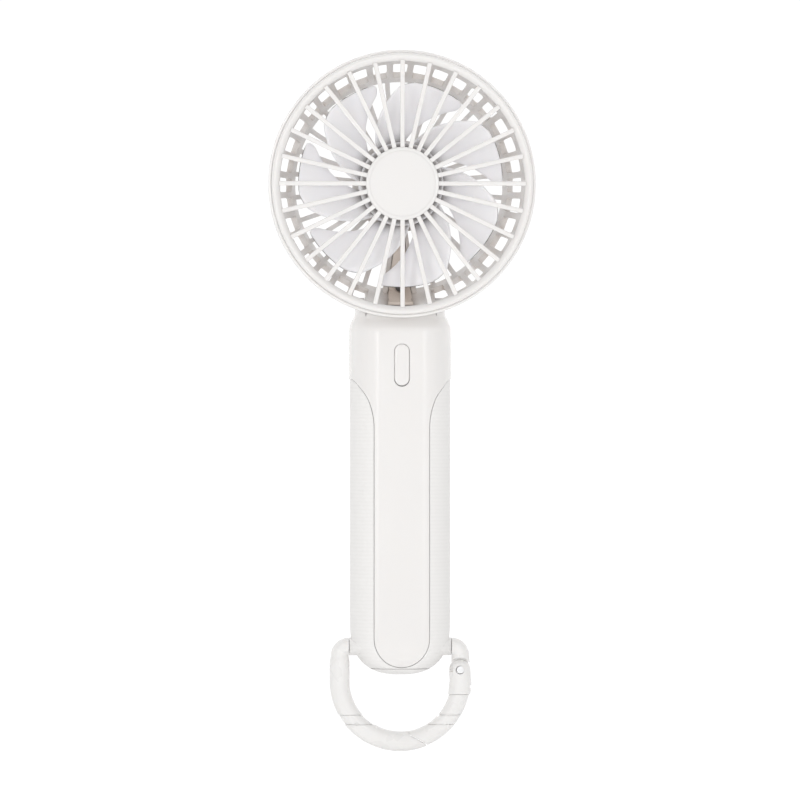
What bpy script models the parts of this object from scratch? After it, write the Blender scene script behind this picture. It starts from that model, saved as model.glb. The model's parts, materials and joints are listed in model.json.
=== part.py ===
"""Handheld electric fan with a round caged head, a straight handle and a hanging loop.

Every length below is in millimetres; solid() turns them into metres. +Z is up, the grille faces -Y,
and the origin lies under the lowest point of the loop, on the mid-plane of the handle.
"""

import math

import bmesh
import bpy
from mathutils import Vector

MM = 0.001
GAP = 0.3               # clearance between neighbouring pieces

# Head
HEAD_Z = 195.7          # height of the fan axis
RIM_R = 46.0            # outside radius of the housing rim
RING_R = 44.7           # outside radius of the front ring
FRONT_Y = -19.5         # front face of the ring
REAR_Y = 19.5           # back of the rear cap
SPOKES = 28             # front spokes, and rear spokes turned by half a pitch
SPOKE_WIDTH = 1.6
SPOKE_DEPTH = 3.0
HUB_DISC_R = 12.2
RING_INNER_R = 42.4
WINDOWS = 36            # pitches of the side windows; three are left out at the neck
WINDOW_ANGLE = 7.0
WINDOW_FRONT_Y = -4.6
WINDOW_REAR_Y = 4.0
REAR_OPENING_R = 36.0
MOTOR_DISC_R = 16.0
PLATE_FRONT_Y = 12.0    # rear plate of the housing
PLATE_REAR_Y = 13.5

# Rotor
BLADES = 7
BLADE_TIP_R = 35.4
BLADE_SPAN_ANGLE = 41.0
BLADE_LEAN = 1.84       # degrees of sweep for each millimetre of radius
BLADE_FRONT_Y = -11.6
BLADE_REAR_Y = -0.6
BLADE_THICKNESS = 1.3
HUB_R = 14.4
HUB_FRONT_Y = -14.0
SHAFT_R = 1.5

# Wire channel and neck
CHANNEL_FRONT_Y = 3.4
CHANNEL_FLOOR_Y = 10.8
COVER_THICKNESS = 1.3
LEAD_R = 0.6
COVER_SCREW_R = 35.3    # distance of the cover screw from the fan axis
SPIGOT_HALF = (12.0, 8.0)
SPIGOT_LOW = 138.0
FLANGE_HALF = (13.7, 9.8)

# Handle
BODY_HALF_WIDTH = 17.7
GRIP_HALF_WIDTH = 17.3
BODY_HALF_DEPTH = 14.5
FLAT_SHARE = 0.37       # part of the half width that is flat, front and back
END_CENTRE_Z = 45.2     # the rounded lower end starts here
END_HEIGHT = 18.6
END_POWER = 2.6
NOTCH_Z = 128.9         # parting line at the top of the band
BAND_DEPTH = 1.5
SHELL_WALL = 1.4
SEAM_X = 9.5            # half width of the bare front strip
SEAM_END_Z = 39.45
SEAM_END_DROP = 10.1
# Upper end of the band's edge as (x, distance below the parting line)
SEAM_CURVE = [(16.9, 0.3), (15.4, 1.8), (13.3, 4.5), (11.75, 6.9), (10.6, 9.9), (9.85, 13.0), (9.5, 15.9)]
CAVITY_HALF = (14.2, 11.7)
SHOULDER_Z = 144.6

SCREW_X = 11.6          # shell screws, hidden under the band
SCREW_SEAT_Y = 6.6

# Button and charging
BUTTON_Z = 133.5
BUTTON_WIDTH = 5.2
BUTTON_LENGTH = 14.4
PORT_Z = 119.0

# Battery
CELL_R = 9.15
CELL_LOW = 39.2
CELL_LENGTH = 65.0

# Loop
LOOP_R = 20.9
TUBE_R = 3.45
LOOP_Z = LOOP_R + TUBE_R
PIVOT_Z = 36.2
ELBOW_R = 3.08
END_TUBE_R = 3.05
END_X = 17.8
AXLE_R = 1.2
BUSH_R = 3.05
GATE_PIN = (20.7, 28.2)
PIN_R = 1.15
GATE_TUBE_R = 3.3
HINGE_R = 3.9
FORK_HALF = 1.5
TONGUE_HALF = 1.2
NOSE = (5.9, 4.2)
NOSE_ANGLE = -29.0
NOSE_GAP = 0.4


# --- scene helpers ---------------------------------------------------------------------------

def clear_scene():
    for item in list(bpy.data.objects):
        bpy.data.objects.remove(item, do_unlink=True)


def material(name, colour, roughness, metallic=0.0):
    result = bpy.data.materials.new(name)
    result.use_nodes = True
    shader = result.node_tree.nodes["Principled BSDF"]
    shader.inputs["Base Color"].default_value = (*colour, 1.0)
    shader.inputs["Roughness"].default_value = roughness
    shader.inputs["Metallic"].default_value = metallic
    return result


def pivot(name, location, parent=None):
    """An empty on a joint's axis, given in world millimetres."""
    result = bpy.data.objects.new(name, None)
    bpy.context.collection.objects.link(result)
    world = Vector(location) * MM
    result["world"] = tuple(world)
    if parent:
        result.parent = parent
        world = world - Vector(parent["world"])
    result.location = world
    return result


def make_object(name, bm, parent):
    """Turn a bmesh in world millimetres into an object in metres under its pivot."""
    bmesh.ops.remove_doubles(bm, verts=bm.verts, dist=1e-5)
    bmesh.ops.recalc_face_normals(bm, faces=bm.faces)
    origin = Vector(parent["world"])
    for vert in bm.verts:
        vert.co = vert.co * MM - origin
    mesh = bpy.data.meshes.new(name)
    bm.to_mesh(mesh)
    bm.free()
    result = bpy.data.objects.new(name, mesh)
    bpy.context.collection.objects.link(result)
    result.parent = parent
    return result


def solid(name, bm, finish, parent):
    result = make_object(name, bm, parent)
    result.data.materials.append(finish)
    result.data.shade_smooth()
    result.data.set_sharp_from_angle(angle=math.radians(35))
    return result


def combine(target, bm, operation="DIFFERENCE"):
    """Cut or join target with a helper shape that is left out of the model."""
    helper = make_object(target.name + "_helper", bm, target.parent)
    helper.hide_render = True
    helper.display_type = "WIRE"
    step = target.modifiers.new(operation.title(), "BOOLEAN")
    step.operation = operation
    step.object = helper
    return helper


# --- shape helpers ---------------------------------------------------------------------------

def polar(radius, degrees):
    angle = math.radians(degrees)
    return radius * math.cos(angle), radius * math.sin(angle)


def frange(start, stop, count):
    return [start + (stop - start) * step / (count - 1) for step in range(count)]


def turned(profile, segments=48, centre=(0, 0, 0), axis="Y", bm=None):
    """Revolve a closed (radius, height) profile about an axis through centre."""
    bm = bm or bmesh.new()
    rings = []
    for radius, height in profile:
        count = 1 if radius < 1e-6 else segments
        ring = []
        for index in range(count):
            u, v = polar(radius, 360 * (index + 0.5) / segments)
            point = {"X": (height, u, v), "Y": (u, height, v), "Z": (u, v, height)}[axis]
            ring.append(bm.verts.new(Vector(point) + Vector(centre)))
        rings.append(ring)
    for low, high in zip(rings, rings[1:] + rings[:1]):
        for index in range(segments):
            corners = [low[index % len(low)], low[(index + 1) % len(low)],
                       high[(index + 1) % len(high)], high[index % len(high)]]
            corners = list(dict.fromkeys(corners))
            if len(corners) > 2:
                bm.faces.new(corners)
    return bm


def rod(radius, low, high, centre=(0, 0, 0), axis="Y", segments=16, bm=None):
    profile = [(0, low), (radius, low), (radius, high), (0, high)]
    return turned(profile, segments, centre, axis, bm)


def tube(outer, inner, low, high, centre=(0, 0, 0), axis="Y", segments=24):
    profile = [(inner, low), (outer, low), (outer, high), (inner, high)]
    return turned(profile, segments, centre, axis)


def loft(outlines, bm=None):
    """Skin a list of point loops that all have the same count, and cap both ends."""
    bm = bm or bmesh.new()
    rings = [[bm.verts.new(point) for point in outline] for outline in outlines]
    for low, high in zip(rings, rings[1:]):
        for index in range(len(low)):
            following = (index + 1) % len(low)
            bm.faces.new([low[index], low[following], high[following], high[index]])
    bm.faces.new(rings[0][::-1])
    bm.faces.new(rings[-1])
    return bm


def prism(outline, low, high, bm=None):
    """Extrude an (x, z) outline along Y."""
    return loft([[(x, y, z) for x, z in outline] for y in (low, high)], bm)


def box(low, high, bm=None):
    outline = [(low[0], low[2]), (high[0], low[2]), (high[0], high[2]), (low[0], high[2])]
    return prism(outline, low[1], high[1], bm)


def stadium(width, length, centre_z, steps=8):
    """Upright slot outline in (x, z)."""
    radius = width / 2
    straight = length / 2 - radius
    top = [polar(radius, angle) for angle in frange(0, 180, steps)]
    bottom = [polar(radius, angle) for angle in frange(180, 360, steps)]
    return ([(x, centre_z + straight + z) for x, z in top]
            + [(x, centre_z - straight + z) for x, z in bottom])


def swept(path, radii, sides=12, headings=()):
    """Round bar along a path, with one radius for each point; headings fixes the first directions."""
    path = [Vector(point) for point in path]
    tangent = (path[1] - path[0]).normalized()
    normal = tangent.cross(Vector((0, 1, 0)))
    if normal.length < 0.1:
        normal = tangent.cross(Vector((1, 0, 0)))
    outlines = []
    for index, point in enumerate(path):
        before = path[max(index - 1, 0)]
        after = path[min(index + 1, len(path) - 1)]
        turned_to = Vector(headings[index]) if index < len(headings) else (after - before).normalized()
        normal.rotate(tangent.rotation_difference(turned_to))
        tangent = turned_to
        normal = (normal - tangent * normal.dot(tangent)).normalized()
        side = tangent.cross(normal)
        ring = []
        for step in range(sides):
            across, along = polar(radii[index], 360 * step / sides)
            ring.append(point + normal * across + side * along)
        outlines.append(ring)
    return loft(outlines)


def spoke_slots(inner, outer, low, high, offset):
    """Openings between straight radial spokes, as a ring of prisms."""
    bm = bmesh.new()
    pitch = 360 / SPOKES
    for index in range(SPOKES):
        start = 90 + (index + offset) * pitch
        outline = []
        for radius, order in ((inner, (0, 1)), (outer, (3, 2, 1, 0))):
            shy = math.degrees(math.asin(SPOKE_WIDTH / 2 / radius))
            for step in order:
                share = step if radius == inner else step / 3
                angle = start + shy + (pitch - 2 * shy) * share
                x, z = polar(radius, angle)
                outline.append((x, HEAD_Z + z))
        prism(outline, low, high, bm)
    return bm


# --- handle shape ----------------------------------------------------------------------------

def end_share(z, centre, height, power):
    """Share of the full width that is left at height z of the rounded lower end."""
    if z >= centre:
        return 1.0
    drop = min((centre - z) / height, 1.0)
    return (1 - drop ** power) ** (1 / power)


def handle_section(z, half_width, half_depth, steps=8):
    """Closed section: flat front and back, elliptic sides."""
    flat = half_width * FLAT_SHARE
    right = []
    for angle in frange(-90, 90, steps + 1):
        x, y = polar(1, angle)
        right.append((flat + (half_width - flat) * x, half_depth * y, z))
    left = [(-x, y, z) for x, y, z in reversed(right)]
    return right + left


def end_heights(centre, height, power):
    """Heights that space the rows of the rounded end evenly along its curve."""
    rows = []
    for angle in (84, 72, 60, 48, 36, 24, 12):
        rows.append(centre - height * math.sin(math.radians(angle)) ** (2 / power))
    return rows


def handle_body(half_width, half_depth, inset, top_rows, steps=8):
    """Handle volume, inset all round; top_rows gives (z, half width, half depth) upwards."""
    height = END_HEIGHT - inset
    rows = []
    for z in end_heights(END_CENTRE_Z, height, END_POWER) + [END_CENTRE_Z]:
        wide = half_width * end_share(z, END_CENTRE_Z, height, END_POWER)
        deep = half_depth * end_share(z, END_CENTRE_Z, height, END_POWER + 0.6)
        rows.append(handle_section(z, wide, deep, steps))
    for z, wide, deep in top_rows:
        rows.append(handle_section(z, wide, deep, steps))
    return loft(rows)


def outer_body():
    wide = BODY_HALF_WIDTH
    deep = BODY_HALF_DEPTH
    neck = []
    for rise, narrow, shallow in ((0, 0, 0), (1.5, 0.05, 0.5), (3.0, 0.5, 1.8), (4.4, 1.2, 3.1), (6.0, 2.0, 3.7),
                                  (9.4, 2.3, 4.7), (12.1, 2.8, 7.0)):
        neck.append((SHOULDER_Z + rise, wide - narrow, deep - shallow))
    return handle_body(wide, deep, 0, neck)


def core_body():
    """What is left of the handle under the band."""
    inset = BAND_DEPTH + GAP
    wide = GRIP_HALF_WIDTH - inset
    deep = BODY_HALF_DEPTH - inset
    return handle_body(wide, deep, inset, [(NOTCH_Z + 4, wide, deep)])


def cavity_body():
    wide, deep = CAVITY_HALF
    inset = BAND_DEPTH + SHELL_WALL + GAP
    return handle_body(wide, deep, inset, [(SPIGOT_LOW + 3.6, wide, deep)], steps=6)


def band_outline(shy):
    """Front view of the band: a U with S-shaped upper ends, drawn narrower by shy."""
    far = BODY_HALF_WIDTH + 4
    right = [(far, NOTCH_Z - shy)]
    for index, (x, drop) in enumerate(SEAM_CURVE):
        before = Vector(SEAM_CURVE[max(index - 1, 0)])
        after = Vector(SEAM_CURVE[min(index + 1, len(SEAM_CURVE) - 1)])
        heading = (after - before).normalized()
        right.append((x + shy * heading.y, NOTCH_Z - drop + shy * heading.x))
    for angle in frange(0, 90, 7):
        x, z = polar(1, angle)
        right.append(((SEAM_X + shy) * x, SEAM_END_Z - (SEAM_END_DROP + shy) * z))
    left = [(-x, z) for x, z in reversed(right[:-1])]
    return right + left + [(-far, 10), (far, 10)]


# --- pieces of the head ----------------------------------------------------------------------

def housing_profile(shift=0.0):
    """Outer side of the bowl as (radius, y), front to back."""
    points = [(RIM_R, -17.0), (RIM_R, -11.5), (44.5, -10.0), (43.4, -5.0), (41.7, -0.5), (39.3, 4.0), (37.4, 8.0),
              (35.0, 11.8), (31.0, PLATE_REAR_Y)]
    return [(radius + shift, y) for radius, y in points]


def build_housing(plastic, head):
    inside = [(4.0, PLATE_REAR_Y), (4.0, PLATE_FRONT_Y), (30.6, PLATE_FRONT_Y), (33.8, 10.8), (35.9, 7.4),
              (37.6, 3.4), (40.2, -1.1), (42.0, -5.6), (43.0, -11.0), (43.1, -14.1), (45.0, -14.1), (45.0, -17.0)]
    body = solid("head_housing", turned(housing_profile() + inside, WINDOWS, (0, 0, HEAD_Z)), plastic, head)

    windows = bmesh.new()
    for index in range(WINDOWS):
        angle = index * 360 / WINDOWS
        if abs(angle - 270) < 1.5 * 360 / WINDOWS:
            continue
        corners = []
        for radius, side in ((36, -1), (36, 1), (50, 1), (50, -1)):
            x, z = polar(radius, angle + side * WINDOW_ANGLE / 2)
            corners.append((x, HEAD_Z + z))
        prism(corners, WINDOW_FRONT_Y, WINDOW_REAR_Y, windows)
    combine(body, windows)
    combine(body, spoke_slots(MOTOR_DISC_R, REAR_OPENING_R, 4.6, PLATE_REAR_Y + 2, 0.5))

    # Wire channel from the motor disc to the wall, then the neck spigot with its flange.
    strut = [(CHANNEL_FRONT_Y, 14.5), (12.6, 14.5), (12.6, 33.2), (8.0, 36.4), (CHANNEL_FRONT_Y, 38.4)]
    combine(body, radial_loft(strut, strut_half), "UNION")
    combine(body, neck_shape(), "UNION")
    flange = [handle_section(z, *FLANGE_HALF, steps=6) for z in (SPIGOT_LOW, SPIGOT_LOW + 3.0)]
    combine(body, loft(flange), "UNION")
    ledge_y = CHANNEL_FRONT_Y + COVER_THICKNESS + GAP
    combine(body, radial_loft([(0, 12), (ledge_y, 12), (ledge_y, 36.9), (0, 38.5)], lambda r: cover_half(r) + GAP))
    groove = [(ledge_y - 1, 12), (CHANNEL_FLOOR_Y, 12), (CHANNEL_FLOOR_Y, 32.6), (ledge_y - 1, 36.4)]
    combine(body, radial_loft(groove, lambda r: cover_half(r) - 0.3))
    screw_z = HEAD_Z - COVER_SCREW_R
    combine(body, rod(1.5, ledge_y + 0.1, 9.6, (0, 0, screw_z), segments=12), "UNION")
    combine(body, box((-3.1, 5.6, SPIGOT_LOW - 1), (3.1, 7.4, HEAD_Z - 34.5)))
    combine(body, rod(0.9, CHANNEL_FRONT_Y - 1, 8.8, (0, 0, screw_z), segments=10))


def strut_half(radius):
    """Half width of the wire channel at a distance below the fan axis."""
    return 2.45 + 0.15 * (radius - 14)


def cover_half(radius):
    return 2.4 + 0.124 * (radius - 24.3)


def radial_loft(outline, half_width):
    """Loft across X of a (y, distance below the fan axis) outline, widening with the distance."""
    sides = []
    for side in (-1, 1):
        sides.append([(side * half_width(radius), y, HEAD_Z - radius) for y, radius in outline])
    return loft(sides)


def neck_shape():
    """Spigot whose top follows the mid-line of the bowl's wall."""
    wide, deep = SPIGOT_HALF
    outlines = []
    for y, radius in ((-deep, 43.2), (deep, 36.6)):
        top = []
        for x in frange(wide, -wide, 7):
            top.append((x, y, HEAD_Z - math.sqrt(radius ** 2 - x ** 2)))
        outlines.append([(-wide, y, SPIGOT_LOW + 2.8), (wide, y, SPIGOT_LOW + 2.8)] + top)
    return loft(outlines)


def build_grille(plastic, head):
    spoke_front = FRONT_Y + 0.4
    spoke_rear = spoke_front + SPOKE_DEPTH
    profile = [(0, FRONT_Y + 0.9), (11.3, FRONT_Y + 0.9), (11.3, spoke_front), (42.2, spoke_front),
               (43.4, FRONT_Y), (RING_R, FRONT_Y + 0.8), (RING_R, -14.4), (43.2, -14.4), (42.6, spoke_rear),
               (0, spoke_rear)]
    grille = solid("front_grille", turned(profile, 2 * SPOKES, (0, 0, HEAD_Z)), plastic, head)
    combine(grille, spoke_slots(HUB_DISC_R + 0.4, RING_INNER_R, FRONT_Y - 2, -13, 0))
    cap = [(0, FRONT_Y), (10.7, FRONT_Y), (11.0, FRONT_Y + 0.2), (11.0, FRONT_Y + 0.6), (0, FRONT_Y + 0.6)]
    solid("hub_cap", turned(cap, 28, (0, 0, HEAD_Z)), plastic, head)


def build_wire_cover(plastic, steel, head):
    """Plate over the wire channel, bent forward along the wall at its lower end, and its screw."""
    front = CHANNEL_FRONT_Y
    rear = front + COVER_THICKNESS
    side = [(front, 15.2), (front, 36.0), (-1.0, 38.6), (-5.0, 40.5), (-5.4, 41.5), (-1.2, 39.8), (front - 0.1, 37.3),
            (rear, 36.5), (rear, 15.2)]
    cover = solid("wire_cover", radial_loft(side, cover_half), plastic, head)
    centre = (0, 0, HEAD_Z - COVER_SCREW_R)
    recess = stepped((1.9, -3, front - 0.25), (0.9, front - 0.25, front + 2))
    combine(cover, turned(recess, 16, centre))
    profile = [(0, front - 1.2), (1.0, front - 1.2), (1.5, front - 0.8), (1.5, front - 0.3), (0.6, front - 0.3),
               (0.6, 8.0), (0, 8.5)]
    screw = solid("wire_cover_screw", turned(profile, 16, centre), steel, head)
    long, short = 0.9, 0.2
    corner = [(long, -short), (long, short), (short, short)]
    cross = []
    for turn in range(4):
        for x, z in corner:
            for _ in range(turn):
                x, z = -z, x
            cross.append((x, centre[2] + z))
    combine(screw, prism(cross, front - 2, front - 0.8))


def build_motor(steel, brass, copper, board, plastic, head):
    centre = (0, 0, HEAD_Z)
    solid("bearing_sleeve", tube(3.7, 2.95, -7.0, 13.2, centre, segments=20), brass, head)
    solid("bearing_front", tube(2.7, 1.75, -6.6, -4.2, centre, segments=16), steel, head)
    solid("bearing_rear", tube(2.7, 1.75, 7.4, 9.8, centre, segments=16), steel, head)

    star = solid("stator", tube(6.0, 4.0, -5.0, 3.6, centre, segments=18), steel, head)
    teeth = bmesh.new()
    for index in range(6):
        angle = 60 * index
        corners = []
        for radius, half in ((5.5, 1.4), (8.8, 1.4), (8.8, 3.6), (9.9, 3.6), (10.2, 0)):
            corners.append((radius, half))
        outline = corners + [(radius, -half) for radius, half in reversed(corners[:-1])]
        turn = math.radians(angle)
        placed = []
        for along, across in outline:
            x = along * math.cos(turn) - across * math.sin(turn)
            z = along * math.sin(turn) + across * math.cos(turn)
            placed.append((x, HEAD_Z + z))
        prism(placed, -4.9, 3.5, teeth)
        build_coil(index, turn, copper, head)
    combine(star, teeth, "UNION")

    solid("driver_board", tube(12.0, 4.1, 9.2, 10.2, centre, segments=20), board, head)
    base = PLATE_REAR_Y + GAP
    cap = [(0, REAR_Y), (13.0, REAR_Y), (15.2, REAR_Y - 2.0), (15.2, base), (13.6, base), (13.6, REAR_Y - 1.8),
           (0, REAR_Y - 1.8)]
    solid("rear_cap", turned(cap, 32, centre), plastic, head)


def build_coil(index, turn, copper, head):
    """Rectangular winding around one stator tooth."""
    inner = (1.7, 5.3)
    outer = (2.35, 6.4)
    rings = []
    for radius, half in ((6.6, inner), (6.6, outer), (8.4, outer), (8.4, inner)):
        ring = []
        for across, along in ((-1, -1), (1, -1), (1, 1), (-1, 1)):
            side = across * half[0]
            x = radius * math.cos(turn) - side * math.sin(turn)
            z = radius * math.sin(turn) + side * math.cos(turn)
            ring.append((x, along * half[1] - 0.7, HEAD_Z + z))
        rings.append(ring)
    bm = bmesh.new()
    loops = [[bm.verts.new(point) for point in ring] for ring in rings]
    for low, high in zip(loops, loops[1:] + loops[:1]):
        for corner in range(4):
            following = (corner + 1) % 4
            bm.faces.new([low[corner], low[following], high[following], high[corner]])
    solid("coil_%d" % (index + 1), bm, copper, head)


# --- rotor -----------------------------------------------------------------------------------

def blade_point(radius, share, blade):
    """Point of a blade; share runs from the leading edge at the rear to the trailing edge in front."""
    middle = 198.0 - BLADE_LEAN * (radius - 20.4)
    angle = middle + (share - 0.5) * BLADE_SPAN_ANGLE + blade * 360 / BLADES
    x, z = polar(radius, angle)
    camber = 0.9 * math.sin(math.pi * share)
    return x, BLADE_REAR_Y + (BLADE_FRONT_Y - BLADE_REAR_Y) * share - camber, HEAD_Z + z


def blade_tip(share):
    """Tip radius, drawn in at both corners."""
    edge = max(abs(2 * share - 1) - 0.62, 0) / 0.38
    return BLADE_TIP_R - (3.6 if share < 0.5 else 2.0) * edge ** 2.2


def blade_sheets():
    bm = bmesh.new()
    for blade in range(BLADES):
        rows = []
        for step in frange(0, 1, 4):
            row = []
            for share in (0, 0.1, 0.3, 0.55, 0.88, 1):
                radius = HUB_R - 0.8 + (blade_tip(share) - HUB_R + 0.8) * step
                row.append(bm.verts.new(blade_point(radius, share, blade)))
            rows.append(row)
        for low, high in zip(rows, rows[1:]):
            for index in range(len(low) - 1):
                bm.faces.new([low[index], low[index + 1], high[index + 1], high[index]])
    return bm


def build_rotor(blade_plastic, steel, black, rotor):
    centre = (0, 0, HEAD_Z)
    hub = [(0, HUB_FRONT_Y), (13.2, HUB_FRONT_Y), (HUB_R, HUB_FRONT_Y + 1.2), (HUB_R, 1.6), (13.0, 1.6),
           (13.0, HUB_FRONT_Y + 1.4), (3.0, HUB_FRONT_Y + 1.4), (3.0, HUB_FRONT_Y + 5), (1.8, HUB_FRONT_Y + 5),
           (1.8, HUB_FRONT_Y + 1), (0, HUB_FRONT_Y + 1)]
    impeller = solid("impeller", turned(hub, 35, centre), blade_plastic, rotor)
    blades = combine(impeller, blade_sheets(), "UNION")
    skin = blades.modifiers.new("Solidify", "SOLIDIFY")
    skin.thickness = BLADE_THICKNESS * MM
    skin.offset = 0
    can = [(3.4, -12.2), (12.7, -12.2), (12.7, 4.6), (12.0, 4.6), (12.0, -11.4), (3.4, -11.4)]
    solid("rotor_can", turned(can, 24, centre), steel, rotor)
    solid("magnet_ring", tube(11.6, 10.8, -6.4, 4.4, centre, segments=24), black, rotor)
    shaft = [(0, -12.6), (SHAFT_R, -12.6), (SHAFT_R, 11.7), (1.1, 11.9), (1.1, 12.9), (SHAFT_R, 13.1),
             (SHAFT_R, 13.9), (0, 13.9)]
    solid("motor_shaft", turned(shaft, 12, centre), steel, rotor)
    clip = []
    for radius, angles in ((2.5, frange(40, 320, 9)), (1.45, frange(320, 40, 9))):
        for angle in angles:
            x, z = polar(radius, angle + 90)
            clip.append((x, HEAD_Z + z))
    solid("shaft_clip", prism(clip, 12.15, 12.65), steel, rotor)


# --- handle pieces ---------------------------------------------------------------------------

def shell_screw_places():
    return [(x, z) for z in (117.0, 61.0) for x in (-SCREW_X, SCREW_X)]


def post_shapes(profile):
    """The same turned shape at each shell screw."""
    bm = bmesh.new()
    for x, z in shell_screw_places():
        turned(profile, 12, (x, 0, z), bm=bm)
    return bm


def stepped(*steps):
    """Closed profile of a stepped rod, from (radius, low, high) steps along Y."""
    profile = [(0, steps[0][1])]
    for radius, low, high in steps:
        profile += [(radius, low), (radius, high)]
    return profile + [(0, steps[-1][2])]


def build_shell(name, side, plastic, handle):
    """One half of the handle case; side is -1 in front and 1 at the back."""
    shell = solid(name, outer_body(), plastic, handle)
    combine(shell, prism(band_outline(0), -30, 30))
    combine(shell, core_body(), "UNION")
    combine(shell, cavity_body())
    low, high = sorted((side * 0.4, side * (SCREW_SEAT_Y + 1)))
    combine(shell, post_shapes(stepped((2.0, low, high))), "UNION")

    # Room for the neck spigot, the head, and the other half.
    wide = SPIGOT_HALF[0] + GAP
    deep = SPIGOT_HALF[1] + GAP
    combine(shell, box((-wide, -deep, SPIGOT_LOW + 2), (wide, deep, 165)))
    saddle = [(0, -30)] + [(RIM_R + GAP, -30)] + housing_profile(GAP) + [(36.0, 30), (0, 30)]
    combine(shell, turned(saddle, 48, (0, 0, HEAD_Z)))
    low, high = sorted((-side * 30, side * 0.1))
    combine(shell, box((-30, low, 10), (30, high, 170)))
    sockets = rod(BUSH_R + GAP, -25, 25, (0, 0, PIVOT_Z), axis="X", segments=24)
    if side < 0:
        prism(stadium(BUTTON_WIDTH + 0.6, BUTTON_LENGTH + 0.6, BUTTON_Z), -16, -11, sockets)
        combine(shell, sockets)
        combine(shell, post_shapes(stepped((0.9, -6.5, 0))))
    else:
        port = stadium(3.9, 9.6, 0)
        prism([(-z, PORT_Z + x) for x, z in port], 11, 16, sockets)
        combine(shell, sockets)
        combine(shell, post_shapes(stepped((1.05, -1, SCREW_SEAT_Y), (2.05, SCREW_SEAT_Y, 15))))


def build_band(rubber, handle):
    wide = GRIP_HALF_WIDTH
    deep = BODY_HALF_DEPTH
    band = solid("grip_band", handle_body(wide, deep, 0, [(NOTCH_Z + 2, wide, deep)]), rubber, handle)
    inner_wide = wide - BAND_DEPTH
    inner_deep = deep - BAND_DEPTH
    core = handle_body(inner_wide, inner_deep, BAND_DEPTH, [(NOTCH_Z + 6, inner_wide, inner_deep)])
    combine(band, core)
    outline = band_outline(0.15)
    keep = outline[:-2]
    rest = [(keep[-1][0], 150), (keep[0][0], 150)]
    combine(band, prism(keep + rest, -30, 30))
    combine(band, rod(BUSH_R + GAP, -25, 25, (0, 0, PIVOT_Z), axis="X", segments=24))


def build_controls(plastic, black, steel, board, handle, button):
    front = -BODY_HALF_DEPTH - 0.1
    cap = solid("power_button", prism(stadium(BUTTON_WIDTH, BUTTON_LENGTH, BUTTON_Z), front, -11.0), plastic, button)
    combine(cap, prism(stadium(BUTTON_WIDTH + 2, BUTTON_LENGTH + 0.6, BUTTON_Z), -11.35, -10.6), "UNION")
    solid("switch_plunger", rod(1.6, -10.3, -8.4, (0, 0, BUTTON_Z)), black, button)
    switch = box((-3, -9.2, BUTTON_Z - 3), (3, -5.9, BUTTON_Z + 3))
    body = solid("tact_switch", switch, steel, handle)
    combine(body, rod(2.0, -10, -7.5, (0, 0, BUTTON_Z)))
    solid("main_board", box((-9.2, -5.6, BUTTON_Z - 27.5), (9.2, -4.2, BUTTON_Z + 3.8)), board, handle)
    solid("charge_board", box((-7.5, 6.9, PORT_Z - 8), (7.5, 8.1, PORT_Z + 8)), board, handle)
    outer = [(-z, PORT_Z + x) for x, z in stadium(3.3, 9.0, 0)]
    inner = [(-z, PORT_Z + x) for x, z in stadium(2.6, 8.3, 0)]
    socket = solid("usb_socket", prism(outer, 8.4, BODY_HALF_DEPTH - 0.2), steel, handle)
    combine(socket, prism(inner, 9.6, 16))
    combine(socket, box((-3.2, 9.3, PORT_Z - 0.35), (3.2, 13.6, PORT_Z + 0.35)), "UNION")


def build_power(wrap, foam, steel, red, black, handle):
    top = CELL_LOW + CELL_LENGTH
    cell = [(0, CELL_LOW), (CELL_R - 0.6, CELL_LOW), (CELL_R, CELL_LOW + 0.6), (CELL_R, top - 1.0),
            (CELL_R - 0.8, top - 0.6), (2.8, top - 0.6), (2.8, top), (0, top)]
    solid("battery_cell", turned(cell, 24, axis="Z"), wrap, handle)
    for name, side in (("battery_pad_front", -1), ("battery_pad_rear", 1)):
        low, high = sorted((side * (CELL_R + GAP), side * (CAVITY_HALF[1] - GAP)))
        solid(name, box((-4, low, CELL_LOW + 12), (4, high, CELL_LOW + 52)), foam, handle)
    for index, (x, z) in enumerate(shell_screw_places()):
        seat = SCREW_SEAT_Y + 0.2
        profile = [(0, seat + 1.2), (1.3, seat + 1.2), (1.75, seat + 0.8), (1.75, seat), (0.75, seat),
                   (0.75, -5.2), (0, -6.0)]
        solid("shell_screw_%d" % (index + 1), turned(profile[::-1], 12, (x, 0, z)), steel, handle)
    for side, colour, label in ((-1, red, "red"), (1, black, "black")):
        depth = 9.8 if side < 0 else 8.2
        low = SPIGOT_LOW
        motor = [(side * 0.8, 10.9, HEAD_Z - 11), (side * 0.8, 10.9, HEAD_Z - 12.6), (side * 0.2, depth, HEAD_Z - 14.4),
                 (side * 0.1, depth, HEAD_Z - 24), (side * 1.2, 8.4, HEAD_Z - 29), (side * 2.4, 6.6, HEAD_Z - 33),
                 (side * 2.3, 6.5, HEAD_Z - 38), (side * 2.0, 6.5, HEAD_Z - 44), (side * 2.0, 6.5, low + 5),
                 (side * 2.0, 6.2, low - 1.5), (side * 2.0, 2.5, low - 6), (side * 2.0, -1.5, low - 8),
                 (side * 2.0, -3.5, low - 8.4)]
        solid("motor_lead_" + label, lead(motor), colour, handle)
        x = side * 2.2
        battery = [(x, 0.4, top + 0.4), (x * 1.3, 0, top + 1.6), (x * 1.5, -1.6, top + 3.6),
                   (x * 1.6, -3.5, top + 4.8)]
        solid("battery_lead_" + label, lead(battery), colour, handle)


def lead(points):
    """Wire through the points, with one eased point added between each pair."""
    points = [Vector(point) for point in points]
    result = [points[0]]
    for index in range(len(points) - 1):
        before = points[max(index - 1, 0)]
        after = points[min(index + 2, len(points) - 1)]
        middle = (points[index] + points[index + 1]) * 0.5625 - (before + after) * 0.0625
        result += [middle, points[index + 1]]
    return swept(result, [LEAD_R] * len(result), 5)


# --- loop ------------------------------------------------------------------------------------

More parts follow.
